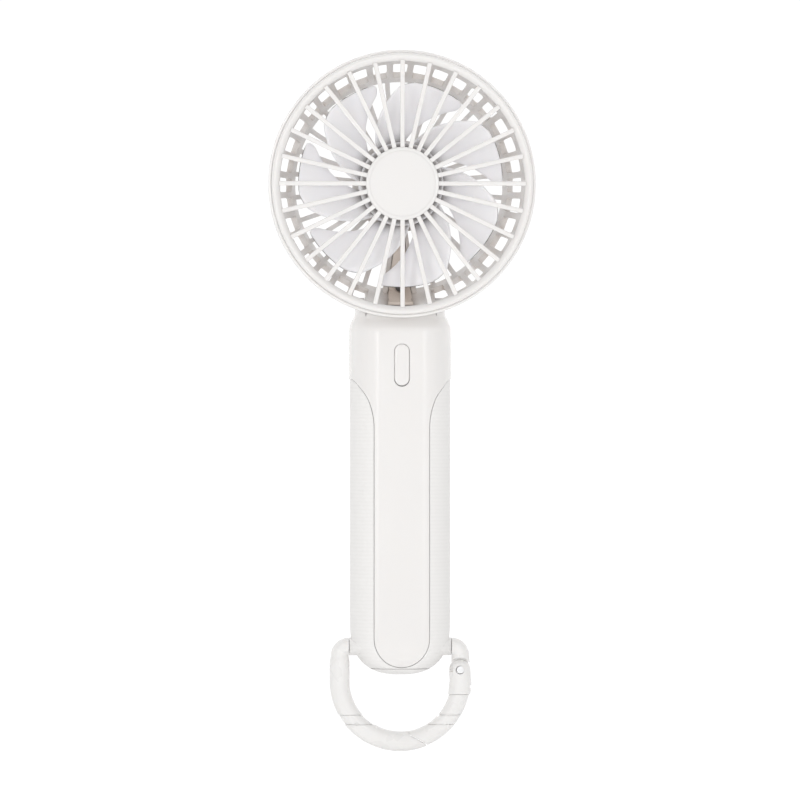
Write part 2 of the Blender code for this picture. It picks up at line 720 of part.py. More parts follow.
def elbow(side):
    """From the pivot out to the side, round the elbow and down: points (x, z) and directions."""
    points = [(side * END_X, PIVOT_Z)]
    headings = [(side, 0, 0)]
    centre_x = LOOP_R - ELBOW_R
    for angle in frange(90, 0, 5):
        x, z = polar(1, angle)
        points.append((side * (centre_x + ELBOW_R * x), PIVOT_Z - ELBOW_R + ELBOW_R * z))
        headings.append((side * z, 0, -x))
    return points, headings


def loop_arc(start, stop, count):
    points = []
    for angle in frange(start, stop, count):
        x, z = polar(LOOP_R, angle)
        points.append((x, LOOP_Z + z))
    return points


def in_plane(points):
    return [(x, 0, z) for x, z in points]


def nose_block(side):
    """Half space beyond the slanted nose joint; side 1 is the gate's side."""
    turn = math.radians(NOSE_ANGLE)
    along = Vector((math.cos(turn), 0, math.sin(turn)))
    across = Vector((-math.sin(turn), 0, math.cos(turn)))
    middle = Vector((NOSE[0], 0, NOSE[1]))
    corners = []
    for step, depth in ((-14, -NOSE_GAP / 2), (14, -NOSE_GAP / 2), (14, 14), (-14, 14)):
        point = middle + along * step + across * depth * side
        corners.append((point.x, point.z))
    return prism(corners, -8, 8)


def build_loop(plastic, steel, loop, gate, handle):
    bend, headings = elbow(-1)
    path = bend + [(-LOOP_R, PIVOT_Z - ELBOW_R - 1.6)] + loop_arc(180, 292, 16)
    radii = [END_TUBE_R] * len(bend) + [TUBE_R - 0.05] + [TUBE_R] * 16
    frame = solid("loop_frame", swept(in_plane(path), radii, 14, headings), plastic, loop)
    combine(frame, nose_block(1))
    combine(frame, rod(AXLE_R + GAP, -END_X - 3.0, -END_X + 2, (0, 0, PIVOT_Z), axis="X", segments=12))

    bend, headings = elbow(1)
    path = bend + [(LOOP_R, PIVOT_Z - ELBOW_R - 2.6)]
    stub = solid("loop_stub", swept(in_plane(path), [END_TUBE_R] * len(bend) + [3.5], 16, headings), plastic, loop)
    centre = (GATE_PIN[0], 0, GATE_PIN[1])
    combine(stub, rod(HINGE_R + 0.4, -9, 9, centre, segments=28))
    tongue = [(x + GATE_PIN[0], z + GATE_PIN[1]) for x, z in (polar(3.1, a) for a in frange(160, 380, 13))]
    tongue += [(GATE_PIN[0] + 2.6, 34.4), (GATE_PIN[0] - 2.6, 34.4)]
    combine(stub, prism(tongue, -TONGUE_HALF, TONGUE_HALF), "UNION")
    holes = rod(PIN_R + 0.25, -9, 9, centre, segments=14)
    rod(AXLE_R + GAP, END_X - 2, END_X + 3.0, (0, 0, PIVOT_Z), axis="X", segments=12, bm=holes)
    combine(stub, holes)

    axle = rod(AXLE_R, -END_X - 2.7, END_X + 2.7, (0, 0, PIVOT_Z), axis="X", segments=16)
    solid("pivot_axle", axle, steel, loop)
    solid("gate_pin", rod(PIN_R, -3.7, 3.7, centre, segments=14), steel, loop)
    for name, side in (("pivot_bush_left", -1), ("pivot_bush_right", 1)):
        low, high = sorted((side * 11.5, side * (END_X - GAP)))
        solid(name, tube(BUSH_R, AXLE_R + 0.25, low, high, (0, 0, PIVOT_Z), axis="X", segments=20), plastic, handle)
    build_gate(plastic, steel, gate, centre)


def build_gate(plastic, steel, gate, centre):
    path = []
    radii = []
    for angle in (80, 60, 40, 20):
        path.append((GATE_PIN[0], GATE_PIN[1] + HINGE_R * math.sin(math.radians(angle))))
        radii.append(HINGE_R * math.cos(math.radians(angle)))
    path += [GATE_PIN, (LOOP_R, LOOP_Z)]
    radii += [HINGE_R, HINGE_R]
    arc = loop_arc(0, -80, 11)[1:]
    path += arc
    radii += [HINGE_R, HINGE_R - 0.1] + [GATE_TUBE_R] * (len(arc) - 2)
    body = solid("gate", swept(in_plane(path), radii, 14), plastic, gate)
    combine(body, nose_block(-1))
    combine(body, box((10, -FORK_HALF, 24.0), (30, FORK_HALF, 40)))
    bore = rod(PIN_R + 0.25, -9, 9, centre, segments=14)
    combine(body, bore)
    well = rod(1.35, 19.0, 24.6, (LOOP_R - 0.1, 0, 0), axis="Z", segments=12)
    combine(body, well)
    coil = []
    turns = 4
    for step in range(turns * 8 + 1):
        x, y = polar(0.8, step / 8 * 360)
        coil.append((LOOP_R - 0.1 + x, y, 19.6 + 4.6 * step / (turns * 8)))
    solid("gate_spring", swept(coil, [0.24] * len(coil), 4), steel, gate)


# --- assembly --------------------------------------------------------------------------------

def build_fan():
    clear_scene()
    white = material("white_plastic", (0.91, 0.90, 0.885), 0.28)
    band = material("band_plastic", (0.88, 0.875, 0.865), 0.62)
    blade = material("blade_plastic", (0.80, 0.80, 0.82), 0.35)
    steel = material("steel", (0.62, 0.62, 0.63), 0.32, 1.0)
    brass = material("brass", (0.72, 0.56, 0.30), 0.35, 1.0)
    copper = material("copper_wire", (0.72, 0.36, 0.18), 0.4, 1.0)
    black = material("black_plastic", (0.03, 0.03, 0.03), 0.5)
    board = material("circuit_board", (0.05, 0.22, 0.12), 0.5)
    wrap = material("cell_wrap", (0.10, 0.25, 0.55), 0.35)
    foam = material("foam", (0.12, 0.12, 0.12), 0.95)
    red = material("red_lead", (0.60, 0.05, 0.04), 0.45)

    handle = pivot("handle_frame", (0, 0, 0))
    head = pivot("head_frame", (0, 0, HEAD_Z), handle)
    rotor = pivot("fan_axis", (0, 0, HEAD_Z), head)
    button = pivot("button_axis", (0, -BODY_HALF_DEPTH, BUTTON_Z), handle)
    loop = pivot("loop_axis", (0, 0, PIVOT_Z), handle)
    gate = pivot("gate_axis", (GATE_PIN[0], 0, GATE_PIN[1]), loop)

    build_housing(white, head)
    build_grille(white, head)
    build_wire_cover(white, steel, head)
    build_motor(steel, brass, copper, board, white, head)
    build_rotor(blade, steel, black, rotor)
    build_shell("front_shell", -1, white, handle)
    build_shell("rear_shell", 1, white, handle)
    build_band(band, handle)
    build_controls(white, black, steel, board, handle, button)
    build_power(wrap, foam, steel, red, black, handle)
    build_loop(white, steel, loop, gate, handle)


build_fan()
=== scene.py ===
import json
import math

import bmesh
import bpy
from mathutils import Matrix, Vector


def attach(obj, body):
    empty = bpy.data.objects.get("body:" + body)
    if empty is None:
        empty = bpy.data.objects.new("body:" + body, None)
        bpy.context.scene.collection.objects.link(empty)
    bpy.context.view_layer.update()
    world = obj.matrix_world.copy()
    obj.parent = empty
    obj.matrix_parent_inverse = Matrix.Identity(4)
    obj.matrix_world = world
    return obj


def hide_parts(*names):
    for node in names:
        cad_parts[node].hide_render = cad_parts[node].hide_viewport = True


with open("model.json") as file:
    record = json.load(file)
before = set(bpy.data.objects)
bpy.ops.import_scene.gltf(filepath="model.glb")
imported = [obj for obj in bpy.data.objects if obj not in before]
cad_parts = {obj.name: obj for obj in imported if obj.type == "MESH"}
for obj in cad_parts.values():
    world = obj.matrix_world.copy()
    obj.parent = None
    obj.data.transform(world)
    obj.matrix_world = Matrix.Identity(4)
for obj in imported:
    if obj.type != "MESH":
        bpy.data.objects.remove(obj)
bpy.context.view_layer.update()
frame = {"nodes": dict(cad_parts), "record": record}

MM = 0.001

# Lengths are in millimetres, in the frame of the CAD part: +Z up, the grille faces -Y.
# Names that end in _R are radii, those of the head from the fan axis.
HEAD_Z = 195.7          # height of the fan axis
HEAD_CENTRE = (0, 0, HEAD_Z)
RIM_R = 46.0
RING_R = 44.96
FRONT_Y = -19.5
REAR_Y = 19.5
SPOKES = 28
SPOKE_WIDTH = 1.6
SPOKE_FRONT_Y = FRONT_Y + 0.4
SPOKE_REAR_Y = SPOKE_FRONT_Y + 3.0
SPOKE_REACH = (11.8, 42.4)      # inner and outer end of a spoke, inside the disc and the ring
DISC_R = 12.6
CAP_R = 11.25
WINDOWS = 36
WINDOW_ANGLE = 7.0
WINDOW_CORNER = 0.9
WINDOW_R = 40.0         # where the window has its stated width
WINDOW_FRONT_Y = -4.6
WINDOW_REAR_Y = 4.0
REAR_OPENING_R = 36.0
MOTOR_DISC_R = 16.0
PLATE_FRONT_Y = 12.0
PLATE_REAR_Y = 13.5
NECK_TOP = ((-8.0, 43.2), (8.0, 36.6))     # Y and radius of the neck's upper edge, in front and behind
CHANNEL_FRONT_Y = 3.4
CHANNEL_FLOOR_Y = 10.8
COVER_THICKNESS = 1.3
COVER_SCREW_DROP = 35.3     # below the fan axis, as is the next
COVER_NOTCH_DROP = 39.6
COVER_NOTCHES = (-4.5, 4.3)
COVER_NOTCH_R = 0.6
CAVITY_LIMIT_R = (44.3, 44.8)   # the painted shade of deep surfaces ends between these
SPIGOT_HALF = (12.0, 8.0)
SPIGOT_LOW = 138.0
CAP_WALL = 1.8
GAP = 0.3               # clearance between pieces that meet

BLADES = 7
BLADE_TIP_R = 35.4
BLADE_SPAN_ANGLE = 41.0
BLADE_LEAN = 1.84
BLADE_FRONT_Y = -11.6
BLADE_REAR_Y = -0.6
BLADE_THICKNESS = 1.2
BLADE_CAMBER = 0.9
BLADE_MIDDLE = (20.4, 198.0)    # radius and angle of one point of the first blade's middle line
BLADE_CORNERS = (3.6, 2.0)      # how far the rear and front corner of the tip are drawn in
HUB_R = 14.4
BLADE_ROOT_R = HUB_R - 0.8
HUB_FRONT_Y = -14.0

BODY_HALF_WIDTH = 17.7
GRIP_HALF_WIDTH = 17.3
BODY_HALF_DEPTH = 14.5
FLAT_SHARE = 0.37
END_CENTRE_Z = 45.2
END_HEIGHT = 18.6
END_POWER = 2.6
END_ANGLES = (87, 83, 78, 73, 68, 62, 56, 50, 44, 38, 32, 26, 20, 14, 7)
NOTCH_Z = 128.9
BAND_DEPTH = 1.5
CORE_INSET = BAND_DEPTH + 0.3       # depth of the case below the band
CORE_WALL = 1.4
CASE_INSIDE_HALF = (14.2, 11.7)
BAND_GROOVE = 0.16      # visible width of the parting line beside the band
SEAM_X = 9.5
SEAM_END_Z = 39.45
SEAM_END_DROP = 10.1
# Upper end of the seam as (x, distance below NOTCH_Z).
SEAM_CURVE = [(16.9, 0.3), (15.4, 1.8), (13.3, 4.5), (11.75, 6.9), (10.6, 9.9), (9.85, 13.0), (9.5, 15.9)]
LIP_Z = 28.75           # thin line round the foot of the band
LIP_DEPTH = 0.3
SHOULDER_Z = 144.6
# The neck above the shoulder as (rise, loss of half width, loss of half depth).
NECK_ROWS = [(0, 0, 0), (1.5, 0.05, 0.5), (3.0, 0.5, 1.8), (4.4, 1.2, 3.1), (6.0, 2.0, 3.7), (9.4, 2.3, 4.7),
             (12.1, 2.8, 7.0)]
BUTTON_Z = 133.5
BUTTON_WIDTH = 5.2
BUTTON_LENGTH = 14.4
SLOT_DROP = 0.1         # the button's slot sits this much lower, so its line is darker below
PORT_Z = 119.0
PORT_SIZE = (3.9, 9.6)

LOOP_R = 20.9
TUBE_R = 3.45
LOOP_Z = LOOP_R + TUBE_R
PIVOT_Z = 36.2
PIVOT = (0, 0, PIVOT_Z)
ELBOW_R = 3.08
END_TUBE_R = 3.05
END_X = 17.8
AXLE_R = 1.2
BUSH_R = 3.05
# The pivot bosses as (distance from the middle, half depth).
BUSH_ROWS = [(11.5, 10.8), (13.4, 9.6), (15.0, 7.6), (16.2, 5.6), (17.0, 4.2), (17.45, 3.4),
             (END_X - 0.2, 3.0)]
GATE_PIN = (20.7, 28.2)
GATE_PIN_CENTRE = (GATE_PIN[0], 0, GATE_PIN[1])
PIN_R = 1.15
GATE_NECK_R = 3.42      # the gate's tube just below the hinge block
GATE_TUBE_R = 3.3
HINGE_R = 3.9
FORK_HALF = 1.5
FORK_LOW_Z = 24.0
TONGUE_HALF = 1.2
NOSE = (5.9, 4.2)
NOSE_ANGLE = -29.0
NOSE_GAP = 0.12         # the joint line as it is seen
NOSE_CORNER = (3.3, 5.64)   # inner end of the slanted joint
HINGE_STEP_Z = 19.7     # lower edge of the hinge block
HINGE_LINE = 0.15       # height of the groove round that edge
COLLAR_LEVELS = (9.2, 12.65)
COLLAR_DEPTH = 0.2
COLLAR_LINE = 0.16      # height of the sharper line at either edge of the collar
HINGE_GAP = 0.24        # joint between the gate and the end of the stub
PIN_HALF_LENGTH = 3.78
# The tube beyond the elbow as (drop, radius): it thickens on the frame and less on the stub.
FRAME_GROWTH = [(0.4, 3.1), (0.8, 3.19), (1.2, 3.29), (1.6, 3.37), (2.1, 3.42), (2.8, TUBE_R)]
STUB_GROWTH = [(0.4, 3.08), (0.9, 3.1), (1.4, 3.13), (2.0, 3.16), (2.6, 3.2)]
# Small round marks across the loop as (x, z, radius).
NOSE_MARK = (2.75, 7.3, 0.4)
FRAME_MARK = (-15.0, 9.5, 0.6)
GATE_MARK = (13.15, 12.4, 0.5)
HINGE_MARK = (24.6, 22.3, 0.55)

SIDES = 40              # facets round a tube
CURVE_STEPS = 4         # points between two that are given, on curves and rounded corners

EDGE_R = 0.12           # rounding of edges in the finishes
PATCH_SCALE = 40.0      # uneven tint
GLOSS_SCALE = 140.0     # uneven gloss
GLOSS_SPREAD = (0.93, 1.08)
RIB_SHADE = 0.98        # painted shade at the bottom of a rib

SENSOR = 36.0
FIELD_WIDTH = 274.64    # width of the view at FIELD_DISTANCE
FIELD_DISTANCE = 2400.0
CAMERA_PLACE = (-113.0, -2414.5, 121.4)
CAMERA_AIM = (0, 0, 121.4)

SKY_FRONT = 0.58        # brightness of the surround before the fan and behind it
SKY_REAR = 1.3
BACKDROP = 1.05         # brightness of the surround as the camera sees it
FLOOR_GLOW = 1.12
FLOOR_GLOW_SHARE = (0.45, 0.85)     # share of that glow in the light it gives, and as the camera sees it
# Lights as (name, place, aim, size, power in watts, seen in reflections), in metres.
LIGHTS = [("key", (-0.9, -2.0, 0.4), (0, 0, 0.12), (0.7, 0.7), 2.5, False),
          ("front", (-0.15, -2.6, 0.1), (0, 0, 0.12), (0.5, 0.5), 20.5, False),
          ("strip_left", (-0.93, -2.25, 0.9), (0, 0, 0.9), (0.2, 2.4), 7, True),
          ("strip_right", (0.76, -2.3, 0.9), (0, 0, 0.9), (0.2, 2.4), 7, True)]


# --- materials -------------------------------------------------------------------------------

def node(tree, kind, **values):
    result = tree.nodes.new(kind)
    for key, value in values.items():
        if key in result.inputs:
            result.inputs[key].default_value = value
        else:
            setattr(result, key, value)
    return result


def ramp(tree, source, low, high, low_value, high_value):
    """Map values from low to high to those from low_value to high_value, and clamp the rest."""
    result = node(tree, "ShaderNodeMapRange")
    tree.links.new(source, result.inputs["Value"])
    result.inputs["From Min"].default_value = low
    result.inputs["From Max"].default_value = high
    result.inputs["To Min"].default_value = low_value
    result.inputs["To Max"].default_value = high_value
    return result.outputs["Result"]


def noise(tree, coordinate, scale, detail):
    result = node(tree, "ShaderNodeTexNoise", Scale=scale, Detail=detail)
    tree.links.new(coordinate, result.inputs["Vector"])
    return result.outputs["Fac"]


def mixed(tree, first, second, share, blend="MIX"):
    """Mix two colours; each, and the share, is a value or the output of another node."""
    result = node(tree, "ShaderNodeMix", data_type="RGBA", blend_type=blend)
    for index, value in ((0, share), (6, first), (7, second)):
        if isinstance(value, bpy.types.NodeSocket):
            tree.links.new(value, result.inputs[index])
        else:
            result.inputs[index].default_value = value
    return result.outputs[2]


def unshaded_share(tree, place, reach, low, high):
    """Weight of the plain colour over the painted shade: 1 on open surfaces, falling to 0 deep in the head;
    always 1 at the rim, where the ring sits close.
    """
    occlusion = node(tree, "ShaderNodeAmbientOcclusion", samples=6, Distance=reach * MM).outputs["AO"]
    flat = node(tree, "ShaderNodeVectorMath", operation="MULTIPLY")
    flat.inputs[1].default_value = (1, 0, 1)
    tree.links.new(place, flat.inputs[0])
    axis_distance = node(tree, "ShaderNodeVectorMath", operation="DISTANCE")
    axis_distance.inputs[1].default_value = (0, 0, HEAD_Z * MM)
    tree.links.new(flat.outputs["Vector"], axis_distance.inputs[0])
    inner, outer = CAVITY_LIMIT_R
    rim_share = ramp(tree, axis_distance.outputs["Value"], inner * MM, outer * MM, 0.0, 1.0)
    largest = node(tree, "ShaderNodeMath", operation="MAXIMUM")
    tree.links.new(ramp(tree, occlusion, low, high, 0.0, 1.0), largest.inputs[0])
    tree.links.new(rim_share, largest.inputs[1])
    return largest.outputs["Value"]


def finish(name, colour, shade, roughness, grain, metallic=0.0, soft=0.0, edge=EDGE_R, coat=0.0, ribs=0.0,
           brushed=0.0, cavity_shade=None):
    """Moulded or metal finish: uneven tint and gloss, a fine grain, softly rounded edges, and painted shade
    in hollows and rib grooves where asked.

    grain is (scale, height in mm); the last argument, painted shade in hollows, is (colour deep inside, reach
    in mm, low, high); ribs is the scale of fine level lines with painted shade in their grooves, and brushed
    the stretch of the grain along Y.
    """
    result = bpy.data.materials.new(name)
    result.use_nodes = True
    tree = result.node_tree
    shader = tree.nodes["Principled BSDF"]
    place = node(tree, "ShaderNodeTexCoord").outputs["Object"]

    patches = ramp(tree, noise(tree, place, PATCH_SCALE, 1.5), 0.3, 0.75, 0.0, 1.0)
    tone = mixed(tree, (*colour, 1), (*shade, 1), patches)
    # Painted shade: deep in hollows the colour turns to a dark brown that stands in for the shade there.
    if cavity_shade:
        painted_shade_colour, reach, low, high = cavity_shade
        tone = mixed(tree, (*painted_shade_colour, 1), tone, unshaded_share(tree, place, reach, low, high))
    low, high = [roughness * factor for factor in GLOSS_SPREAD]
    gloss = ramp(tree, noise(tree, place, GLOSS_SCALE, 2.0), 0.2, 0.85, low, high)
    tree.links.new(gloss, shader.inputs["Roughness"])
    shader.inputs["Metallic"].default_value = metallic
    shader.inputs["Coat Weight"].default_value = coat
    shader.inputs["Coat Roughness"].default_value = 0.12
    if soft:
        shader.inputs["Subsurface Weight"].default_value = soft
        shader.inputs["Subsurface Radius"].default_value = (0.0016, 0.0014, 0.0012)
        shader.inputs["Subsurface Scale"].default_value = 1.0

    grain_scale, grain_height = grain
    grain_place = place
    if brushed:
        stretch = node(tree, "ShaderNodeMapping")
        stretch.inputs["Scale"].default_value = (1.0, brushed, 1.0)
        tree.links.new(place, stretch.inputs["Vector"])
        grain_place = stretch.outputs["Vector"]
    height = noise(tree, grain_place, grain_scale, 4.0)
    # Painted shade: the ribs darken the colour towards each groove.
    if ribs:
        lines = node(tree, "ShaderNodeTexWave", Scale=ribs, Distortion=0.25, Detail=1.0)
        lines.bands_direction = "Z"
        tree.links.new(place, lines.inputs["Vector"])
        groove_shade = ramp(tree, lines.outputs["Fac"], 0.0, 0.6, RIB_SHADE, 1.0)
        tone = mixed(tree, tone, groove_shade, 1.0, "MULTIPLY")
        total = node(tree, "ShaderNodeMath", operation="MULTIPLY_ADD")
        total.inputs[1].default_value = 0.4
        tree.links.new(height, total.inputs[0])
        tree.links.new(lines.outputs["Fac"], total.inputs[2])
        height = total.outputs["Value"]
    tree.links.new(tone, shader.inputs["Base Color"])
    bump = node(tree, "ShaderNodeBump", Strength=0.6, Distance=grain_height * MM)
    tree.links.new(height, bump.inputs["Height"])
    if edge:
        soft_edge = node(tree, "ShaderNodeBevel", samples=4, Radius=edge * MM)
        tree.links.new(soft_edge.outputs["Normal"], bump.inputs["Normal"])
    tree.links.new(bump.outputs["Normal"], shader.inputs["Normal"])
    return result


def make_finishes():
    """One finish for each material slot of the record, and for the pieces that differ from their slot."""
    settings = {
        "white_plastic": dict(colour=(0.765, 0.748, 0.734), shade=(0.76, 0.743, 0.73), roughness=0.25,
                              grain=(2600, 0.01), soft=0.08, coat=0.2),
        # Painted shade: the bowl's white plastic turns dark brown deep inside the head.
        "bowl_plastic": dict(colour=(0.8, 0.784, 0.772), shade=(0.795, 0.779, 0.767), roughness=0.3,
                             grain=(2600, 0.01), soft=0.08, coat=0.15,
                             cavity_shade=((0.44, 0.375, 0.325), 18.0, 0.08, 0.8)),
        # Painted shade: the cover is white plastic, tinted brown and darker brown deep inside to stand in for
        # the shade it sits in.
        "cover_painted_shade": dict(colour=(0.74, 0.66, 0.59), shade=(0.72, 0.64, 0.57), roughness=0.35,
                              grain=(2600, 0.012), cavity_shade=((0.44, 0.365, 0.31), 12.0, 0.1, 0.7)),
        "loop_plastic": dict(colour=(0.768, 0.757, 0.745), shade=(0.762, 0.751, 0.739), roughness=0.28,
                             grain=(2200, 0.012), soft=0.08, coat=0.15),
        # Painted shade in the grooves of the ribs.
        "band_plastic": dict(colour=(0.79, 0.778, 0.765), shade=(0.782, 0.77, 0.757), roughness=0.5,
                             grain=(5200, 0.05), ribs=240.0),
        # Painted shade: close to the hub, behind the disc, the blades turn nearly black.
        "blade_plastic": dict(colour=(0.935, 0.929, 0.95), shade=(0.93, 0.924, 0.944), roughness=0.36,
                              grain=(2400, 0.012), soft=0.1, cavity_shade=((0.16, 0.145, 0.135), 6.0, 0.3, 0.72)),
        "black_plastic": dict(colour=(0.03, 0.03, 0.032), shade=(0.045, 0.045, 0.047), roughness=0.5,
                              grain=(3000, 0.02)),
        "steel": dict(colour=(0.63, 0.63, 0.64), shade=(0.5, 0.5, 0.52), roughness=0.3, grain=(1800, 0.01),
                      metallic=1.0, brushed=0.06),
        # Painted reflection: the pin's steel is made nearly white and less metallic, standing in for the
        # white surround it mirrors.
        "steel_painted_sheen": dict(colour=(0.9, 0.9, 0.9), shade=(0.84, 0.84, 0.85), roughness=0.35,
                             grain=(1800, 0.01), metallic=0.35, edge=0),
        "dark_steel": dict(colour=(0.2, 0.19, 0.185), shade=(0.12, 0.115, 0.11), roughness=0.35,
                           grain=(1800, 0.01), metallic=1.0),
        "brass": dict(colour=(0.74, 0.57, 0.30), shade=(0.6, 0.43, 0.2), roughness=0.32, grain=(1800, 0.01),
                      metallic=1.0, brushed=0.06),
        # Painted shade in the grooves between the turns.
        "copper_wire": dict(colour=(0.72, 0.33, 0.16), shade=(0.5, 0.2, 0.09), roughness=0.35,
                            grain=(1500, 0.03), metallic=1.0, ribs=900.0),
        "circuit_board": dict(colour=(0.04, 0.22, 0.11), shade=(0.02, 0.13, 0.07), roughness=0.4,
                              grain=(900, 0.03)),
        "cell_wrap": dict(colour=(0.08, 0.22, 0.52), shade=(0.06, 0.17, 0.43), roughness=0.3,
                          grain=(700, 0.02), coat=0.3),
        "foam": dict(colour=(0.11, 0.11, 0.11), shade=(0.06, 0.06, 0.06), roughness=0.95, grain=(1500, 0.25),
                     edge=0),
        "red_lead": dict(colour=(0.58, 0.05, 0.04), shade=(0.48, 0.04, 0.03), roughness=0.4,
                         grain=(1500, 0.02)),
        "black_lead": dict(colour=(0.03, 0.03, 0.03), shade=(0.05, 0.05, 0.05), roughness=0.4,
                           grain=(1500, 0.02)),
    }
    return {name: finish(name + "_fine", **values) for name, values in settings.items()}


# --- shape helpers ---------------------------------------------------------------------------

def polar(radius, degrees):
    angle = math.radians(degrees)
    return radius * math.cos(angle), radius * math.sin(angle)


def frange(start, stop, count):
    """Even steps from start to stop, both included."""
    return [start + (stop - start) * step / (count - 1) for step in range(count)]


def smoothed(points):
    """Catmull-Rom curve through the points, of any dimension."""
    result = []
    for index in range(len(points) - 1):
        before = points[max(index - 1, 0)]
        start, stop = points[index], points[index + 1]
        after = points[min(index + 2, len(points) - 1)]
        for step in range(CURVE_STEPS):
            t = step / CURVE_STEPS
            weights = (-0.5 * t + t * t - 0.5 * t ** 3, 1 - 2.5 * t * t + 1.5 * t ** 3,
                       0.5 * t + 2 * t * t - 1.5 * t ** 3, -0.5 * t * t + 0.5 * t ** 3)
            point = []
            for values in zip(before, start, stop, after):
                point.append(sum(weight * value for weight, value in zip(weights, values)))
            result.append(tuple(point))
    result.append(tuple(points[-1]))
    return result


def rounded(outline, radius):
    """Round every corner of a closed 2-D outline."""
    result = []
    for index, corner in enumerate(outline):
        corner = Vector(corner)
        before = Vector(outline[index - 1]) - corner
        after = Vector(outline[(index + 1) % len(outline)]) - corner
        reach = min(radius, before.length * 0.45, after.length * 0.45)
        start = corner + before.normalized() * reach
        stop = corner + after.normalized() * reach
        for step in range(CURVE_STEPS + 1):
            t = step / CURVE_STEPS
            point = start * (1 - t) ** 2 + corner * 2 * t * (1 - t) + stop * t * t
            result.append((point.x, point.y))
    return result


def turned(profile, segments, centre, axis="Y", bm=None):
    """Revolve a closed (radius, height) profile about an axis through centre."""
    bm = bm or bmesh.new()
    rings = []
    for radius, height in profile:
        count = 1 if radius < 1e-6 else segments
        ring = []
        for index in range(count):
            u, v = polar(radius, 360 * (index + 0.5) / segments)
            point = {"X": (height, u, v), "Y": (u, height, v), "Z": (u, v, height)}[axis]
            ring.append(bm.verts.new(Vector(point) + Vector(centre)))
        rings.append(ring)
    for low, high in zip(rings, rings[1:] + rings[:1]):
        for index in range(segments):
            corners = [low[index % len(low)], low[(index + 1) % len(low)],
                       high[(index + 1) % len(high)], high[index % len(high)]]
            corners = list(dict.fromkeys(corners))
            if len(corners) > 2:
                bm.faces.new(corners)
    return bm


def rod(radius, low, high, centre, axis="Y", segments=32, bm=None):
    return turned([(0, low), (radius, low), (radius, high), (0, high)], segments, centre, axis, bm)


def loft(outlines, bm=None):
    """Skin a list of point loops that all have the same count, and cap both ends."""
    bm = bm or bmesh.new()
    rings = [[bm.verts.new(point) for point in outline] for outline in outlines]
    for low, high in zip(rings, rings[1:]):
        for index in range(len(low)):
            following = (index + 1) % len(low)
            bm.faces.new([low[index], low[following], high[following], high[index]])
    bm.faces.new(rings[0][::-1])
    bm.faces.new(rings[-1])
    return bm


def prism(outline, low, high, bm=None):
    """Extrude an (x, z) outline along Y."""
    return loft([[(x, y, z) for x, z in outline] for y in (low, high)], bm)


def box(low, high):
    outline = [(low[0], low[2]), (high[0], low[2]), (high[0], high[2]), (low[0], high[2])]
    return prism(outline, low[1], high[1])


def stadium(width, length, centre_z, steps=16):
    """Upright slot outline in (x, z)."""
    radius = width / 2
    straight = length / 2 - radius
    top = [polar(radius, angle) for angle in frange(0, 180, steps)]
    bottom = [polar(radius, angle) for angle in frange(180, 360, steps)]
    return ([(x, centre_z + straight + z) for x, z in top]
            + [(x, centre_z - straight + z) for x, z in bottom])


def swept(path, radii, headings=()):
    """Round bar along a path, with one radius for each point; headings fixes the first directions."""
    path = [Vector(point) for point in path]
    tangent = (path[1] - path[0]).normalized()
    normal = tangent.cross(Vector((0, 1, 0)))
    if normal.length < 0.1:
        normal = tangent.cross(Vector((1, 0, 0)))
    outlines = []
    for index, point in enumerate(path):
        before = path[max(index - 1, 0)]
        after = path[min(index + 1, len(path) - 1)]
        heading = Vector(headings[index]) if index < len(headings) else (after - before).normalized()
        normal.rotate(tangent.rotation_difference(heading))
        tangent = heading
        normal = (normal - tangent * normal.dot(tangent)).normalized()
        side = tangent.cross(normal)
        ring = []
        for step in range(SIDES):
            across, along = polar(radii[index], 360 * step / SIDES)
            ring.append(point + normal * across + side * along)
        outlines.append(ring)
    return loft(outlines)


helpers = []


def mesh_object(name, bm):
    """Make an object, in metres, from a shape in millimetres."""
    bmesh.ops.remove_doubles(bm, verts=bm.verts, dist=1e-5)
    bmesh.ops.recalc_face_normals(bm, faces=bm.faces)
    for vert in bm.verts:
        vert.co = vert.co * MM
    mesh = bpy.data.meshes.new(name)
    bm.to_mesh(mesh)
    bm.free()
    result = bpy.data.objects.new(name, mesh)
    bpy.context.scene.collection.objects.link(result)
    return result


def combine(target, bm, operation="DIFFERENCE"):
    """Cut or join target with a helper shape."""
    helper = mesh_object("helper", bm)
    step = target.modifiers.new("Boolean", "BOOLEAN")
    step.operation = operation
    step.object = helper
    helpers.append(helper)


def settle(target):
    """Turn the result of the modifiers into the object's own mesh and remove the helpers."""
    graph = bpy.context.evaluated_depsgraph_get()
    mesh = bpy.data.meshes.new_from_object(target.evaluated_get(graph))
    target.modifiers.clear()
    target.data = mesh
    for helper in helpers:
        bpy.data.objects.remove(helper, do_unlink=True)
    helpers.clear()


def taken_shape(target):
    """Turn a finished helper object back into an editable shape in millimetres."""
    settle(target)
    bm = bmesh.new()
    bm.from_mesh(target.data)
    for vert in bm.verts:
        vert.co = vert.co / MM
    bpy.data.objects.remove(target, do_unlink=True)
    return bm


def piece(target, body, slot, cad_node, sharp=32, look=None):
    """Finish a visible piece: apply its modifiers, give it its finish, and let it stand for its CAD node."""
    settle(target)
    mesh = target.data
    mesh.materials.clear()
    mesh.materials.append(finishes[look or slot])
    mesh.shade_smooth()
    mesh.set_sharp_from_angle(angle=math.radians(sharp))
    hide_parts(cad_node)
    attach(target, body)


# --- head ------------------------------------------------------------------------------------

def bowl_outside():
    wall = [(44.5, -10.0), (43.4, -5.0), (41.7, -0.5), (39.3, 4.0), (37.4, 8.0), (35.0, 11.8)]
    rim = [(45.35, -17.0), (45.8, -16.9), (45.97, -16.6), (RIM_R, -16.2), (RIM_R, -12.0), (45.9, -11.5),
           (45.4, -10.7)]
    return rim + smoothed(wall) + [(33.2, 12.9), (31.0, PLATE_REAR_Y)]


